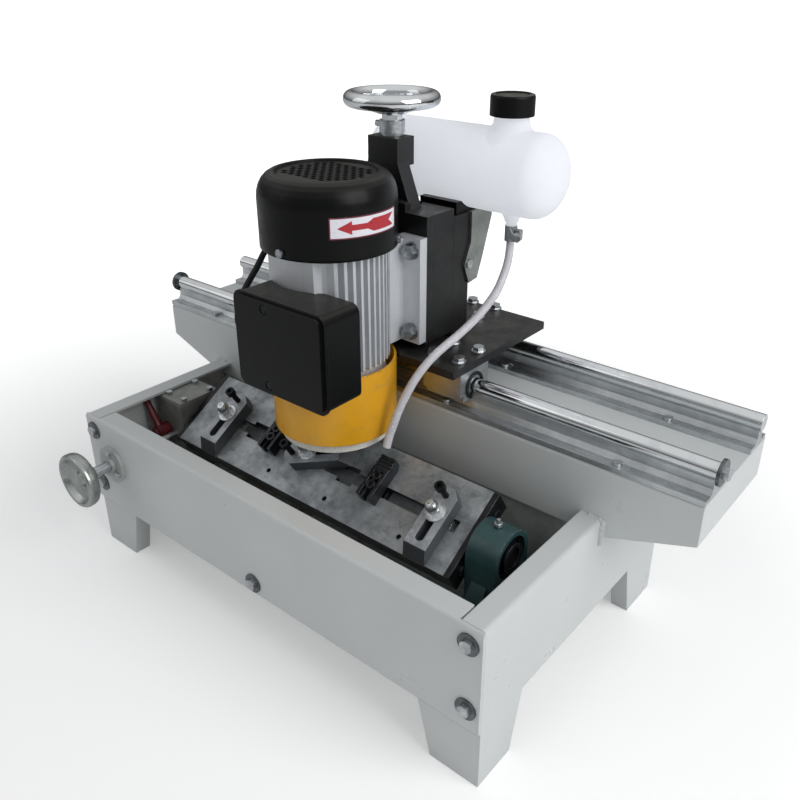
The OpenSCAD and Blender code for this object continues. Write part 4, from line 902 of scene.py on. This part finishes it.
class GRINDER_OT_arrow_label(Operator):
    """Turning arrow on the fan cover: white film, border and arrow"""
    bl_idname = "grinder.arrow_label"
    bl_label = "Arrow Label"

    def execute(self, context):
        fit = context.scene.grinder_fittings
        low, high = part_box("fan_cover")
        self.axis = Vector(((low.x + high.x) / 2, (low.y + high.y) / 2, 0))
        self.radius = (high.x - low.x) / 2
        z0, z1 = fit.label_low, fit.label_high
        mid = (z0 + z1) / 2
        # Angles round the cover in degrees, half heights of the arrow, and how far the films stand out.
        start, end = -45, 21
        tip, neck, flare, fletch, notch, tail_end = -39, -27, -13.5, -8, 10, 15.7
        head, stem, tail, fin = 0.0058, 0.0025, 0.0055, 0.0046
        field_proud, border_proud, arrow_proud = 0.00012, 0.0002, 0.00022
        white = printed_film("label_white", ink("#eceaf2"))
        red = printed_film("label_red", list(context.scene.grinder_paints.arrow))
        rim = printed_film("label_rim", ink("#6d1a28"))
        field = self.band("label_field", [(start, z0, z1), (end, z0, z1)], field_proud)
        dress(field, white, "head")
        border = self.border("label_border", start, end, z0, z1, border_proud)
        dress(border, rim, "head")
        arrow = {
            "label_arrow": [(tip, mid, mid), (neck, mid - head, mid + head)],
            "label_shaft": [(neck, mid - stem, mid + stem), (flare, mid - stem, mid + stem),
                            (fletch, mid - tail, mid + tail), (notch, mid - tail, mid + tail)],
            "label_tail_upper": [(notch, mid, mid + tail), (tail_end, mid + fin, mid + tail)],
            "label_tail_lower": [(notch, mid - tail, mid), (tail_end, mid - tail, mid - fin)],
        }
        for name, stations in arrow.items():
            dress(self.band(name, stations, arrow_proud), red, "head")
        return {"FINISHED"}

    def on_cover(self, degrees, z, proud):
        """A point that far out from the skin of the fan cover."""
        a = math.radians(degrees)
        r = self.radius + proud
        return self.axis + Vector((r * math.cos(a), r * math.sin(a), z))

    def strip(self, stations, proud, least, first=0):
        """Points and faces between the edges at each (angle, low, high) station, numbered from first."""
        cuts = []
        for (a, lo, hi), (b, lo2, hi2) in zip(stations, stations[1:]):
            count = max(least, round((b - a) / LABEL_STEP))
            cuts += [(a + (b - a) * i / count, lo + (lo2 - lo) * i / count, hi + (hi2 - hi) * i / count)
                     for i in range(count)]
        cuts.append(stations[-1])
        points = [self.on_cover(a, z, proud) for a, lo, hi in cuts for z in (lo, hi)]
        faces = [(k, k + 2, k + 3, k + 1) for k in range(first, first + 2 * len(cuts) - 2, 2)]
        return points, faces

    def band(self, name, stations, proud):
        """One film through the stations."""
        points, faces = self.strip(stations, proud, 2)
        return self.film(name, points, faces)

    def border(self, name, start, end, z0, z1, proud):
        """Four thin strips round the label, in one film."""
        edge = 0.0011
        turn = math.degrees(edge / self.radius)
        points, faces = [], []
        for a0, a1, lo, hi in ((start, end, z0, z0 + edge), (start, end, z1 - edge, z1),
                               (start, start + turn, z0, z1), (end - turn, end, z0, z1)):
            more = self.strip([(a0, lo, hi), (a1, lo, hi)], proud, 1, len(points))
            points += more[0]
            faces += more[1]
        return self.film(name, points, faces)

    def film(self, name, points, faces):
        """A piece from points and faces."""
        mesh = bpy.data.meshes.new(name)
        mesh.from_pydata(points, [], faces)
        piece = bpy.data.objects.new(name, mesh)
        bpy.context.collection.objects.link(piece)
        pick(piece)
        bpy.ops.object.mode_set(mode="EDIT")
        bpy.ops.mesh.select_all(action="SELECT")
        bpy.ops.mesh.remove_doubles(threshold=MERGE)
        bpy.ops.object.mode_set(mode="OBJECT")
        smooth(piece, 60)
        return piece


class GRINDER_OT_block_seals(Operator):
    """Black end seals of the bearing blocks around the rails"""
    bl_idname = "grinder.block_seals"
    bl_label = "Block Seals"

    def execute(self, context):
        fit = context.scene.grinder_fittings
        inner, outer = fit.seal_inner, fit.seal_outer
        sunk, lip, chamfer = 0.002, 0.003, 0.0007
        ring = turned("block_seals", [(inner, 0.0), (outer, 0.0), (outer, lip),
                                      (outer - chamfer, lip + chamfer), (inner + chamfer, lip + chamfer),
                                      (inner, lip), (inner, 0.0)])
        smooth(ring)
        low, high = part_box("bearing_blocks")
        shafts_low, shafts_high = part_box("rail_shafts")
        pitch = high.x - low.x - BLOCK
        lift = (shafts_low.z + shafts_high.z) / 2
        places = []
        for y, apart in ((shafts_low.y + ROD / 2, pitch), (shafts_high.y - ROD / 2, fit.rear_pitch)):
            for middle in (-apart / 2, apart / 2):
                for side in (-1, 1):
                    spot = Matrix.Translation((middle + side * (BLOCK / 2 - sunk), y, lift))
                    places.append(spot @ Matrix.Rotation(side * math.pi / 2, 4, "Y"))
        seals = copies(ring, places)
        dress(seals, rubber("seal_rubber"), "carriage")
        return {"FINISHED"}


class GRINDER_OT_stud_caps(Operator):
    """Domed ends of the clamp studs"""
    bl_idname = "grinder.stud_caps"
    bl_label = "Stud Caps"

    def execute(self, context):
        dome = [(0.0, 0.0), (0.0055, 0.0), (0.0062, 0.0012), (0.006, 0.004), (0.0048, 0.0066),
                (0.0028, 0.0081), (0.0, 0.0086)]
        for side in CLAMP_SHARES:
            cap = turned(f"stud_cap_{side}", dome, 32)
            smooth(cap)
            spot = stud_foot(side) + (TABLE_FACE + CLAMP_BAR + NUT_AND_WASHER) * TABLE_UP
            cap = copies(cap, [Matrix.Translation(spot) @ Matrix.Rotation(TABLE_TILT, 4, "X")])
            cap.name = f"stud_cap_{side}"
            dress(cap, zinc_plate(f"stud_cap_zinc_{side}"), f"clamp_{side}")
        return {"FINISHED"}


class GRINDER_OT_weld_beads(Operator):
    """Weld beads where the side frames meet the face of the rail bed"""
    bl_idname = "grinder.weld_beads"
    bl_label = "Weld Beads"

    def execute(self, context):
        radius, proud, below, voxel = 0.0036, 0.0006, 0.002, 0.0006
        drops_down, step_down, sway_down, pace_down = 11, 0.0023, 0.0006, 2.3
        drops_along, step_along, sway_along, pace_along = 5, 0.0025, 0.0005, 1.7
        outward = 0.0004
        squat_down = Matrix.Diagonal((1.0, 1.0, 0.75, 1.0))
        squat_along = Matrix.Diagonal((0.8, 1.0, 0.8, 1.0))
        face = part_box("rail_bed")[0].y - proud
        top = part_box("front_panel")[1].z - below
        paint = list(context.scene.grinder_paints.base)
        for side in ("left", "right"):
            low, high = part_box("side_frame_" + side)
            outer = high.x if side == "right" else low.x
            sign = 1 if side == "right" else -1
            deselect()
            bpy.ops.mesh.primitive_ico_sphere_add(subdivisions=2, radius=radius)
            drop = context.object
            places = []
            for i in range(drops_down):
                sway = sway_down * math.sin(pace_down * i)
                spot = Vector((outer + sign * (outward + sway), face + sway, top - step_down * i))
                places.append(Matrix.Translation(spot) @ squat_down)
            for i in range(1, drops_along + 1):
                sway = sway_along * math.sin(pace_along * i)
                spot = Vector((outer - sign * step_along * i, face + sway, top + proud + sway))
                places.append(Matrix.Translation(spot) @ squat_along)
            bead = copies(drop, places)
            bead.name = "weld_bead_" + side
            tool(bead, "REMESH", mode="VOXEL", voxel_size=voxel)
            tool(bead, "SMOOTH", factor=0.5, iterations=2)
            smooth(bead, 60)
            dress(bead, base_coat("weld_coat_" + side, toned(paint, 0.9)), "base")
        return {"FINISHED"}


class GRINDER_PT_panel(Panel):
    """Lists the dressing steps in the sidebar"""
    bl_label = "Knife Grinder"
    bl_space_type = "VIEW_3D"
    bl_region_type = "UI"
    bl_category = "Grinder"

    def draw(self, context):
        scene = context.scene
        for group in (scene.grinder_stage, scene.grinder_paints, scene.grinder_fittings):
            box = self.layout.box()
            for key in group.bl_rna.properties.keys():
                if key not in {"rna_type", "name"}:
                    box.prop(group, key)
        for step in STEPS:
            self.layout.operator(step.bl_idname)


STEPS = (GRINDER_OT_stage, GRINDER_OT_coolant_hose, GRINDER_OT_motor_cable, GRINDER_OT_finishes,
         GRINDER_OT_arrow_label, GRINDER_OT_block_seals, GRINDER_OT_stud_caps, GRINDER_OT_weld_beads)
GROUPS = (("grinder_paints", GrinderPaints), ("grinder_fittings", GrinderFittings),
          ("grinder_stage", GrinderStage))


def register():
    for key, group in GROUPS:
        bpy.utils.register_class(group)
        setattr(bpy.types.Scene, key, PointerProperty(type=group))
    for step in STEPS:
        bpy.utils.register_class(step)
    bpy.utils.register_class(GRINDER_PT_panel)


def unregister():
    bpy.utils.unregister_class(GRINDER_PT_panel)
    for step in reversed(STEPS):
        bpy.utils.unregister_class(step)
    for key, group in reversed(GROUPS):
        delattr(bpy.types.Scene, key)
        bpy.utils.unregister_class(group)


def main():
    register()
    for step in STEPS:
        area, name = step.bl_idname.split(".")
        getattr(getattr(bpy.ops, area), name)()


if __name__ == "__main__":
    main()
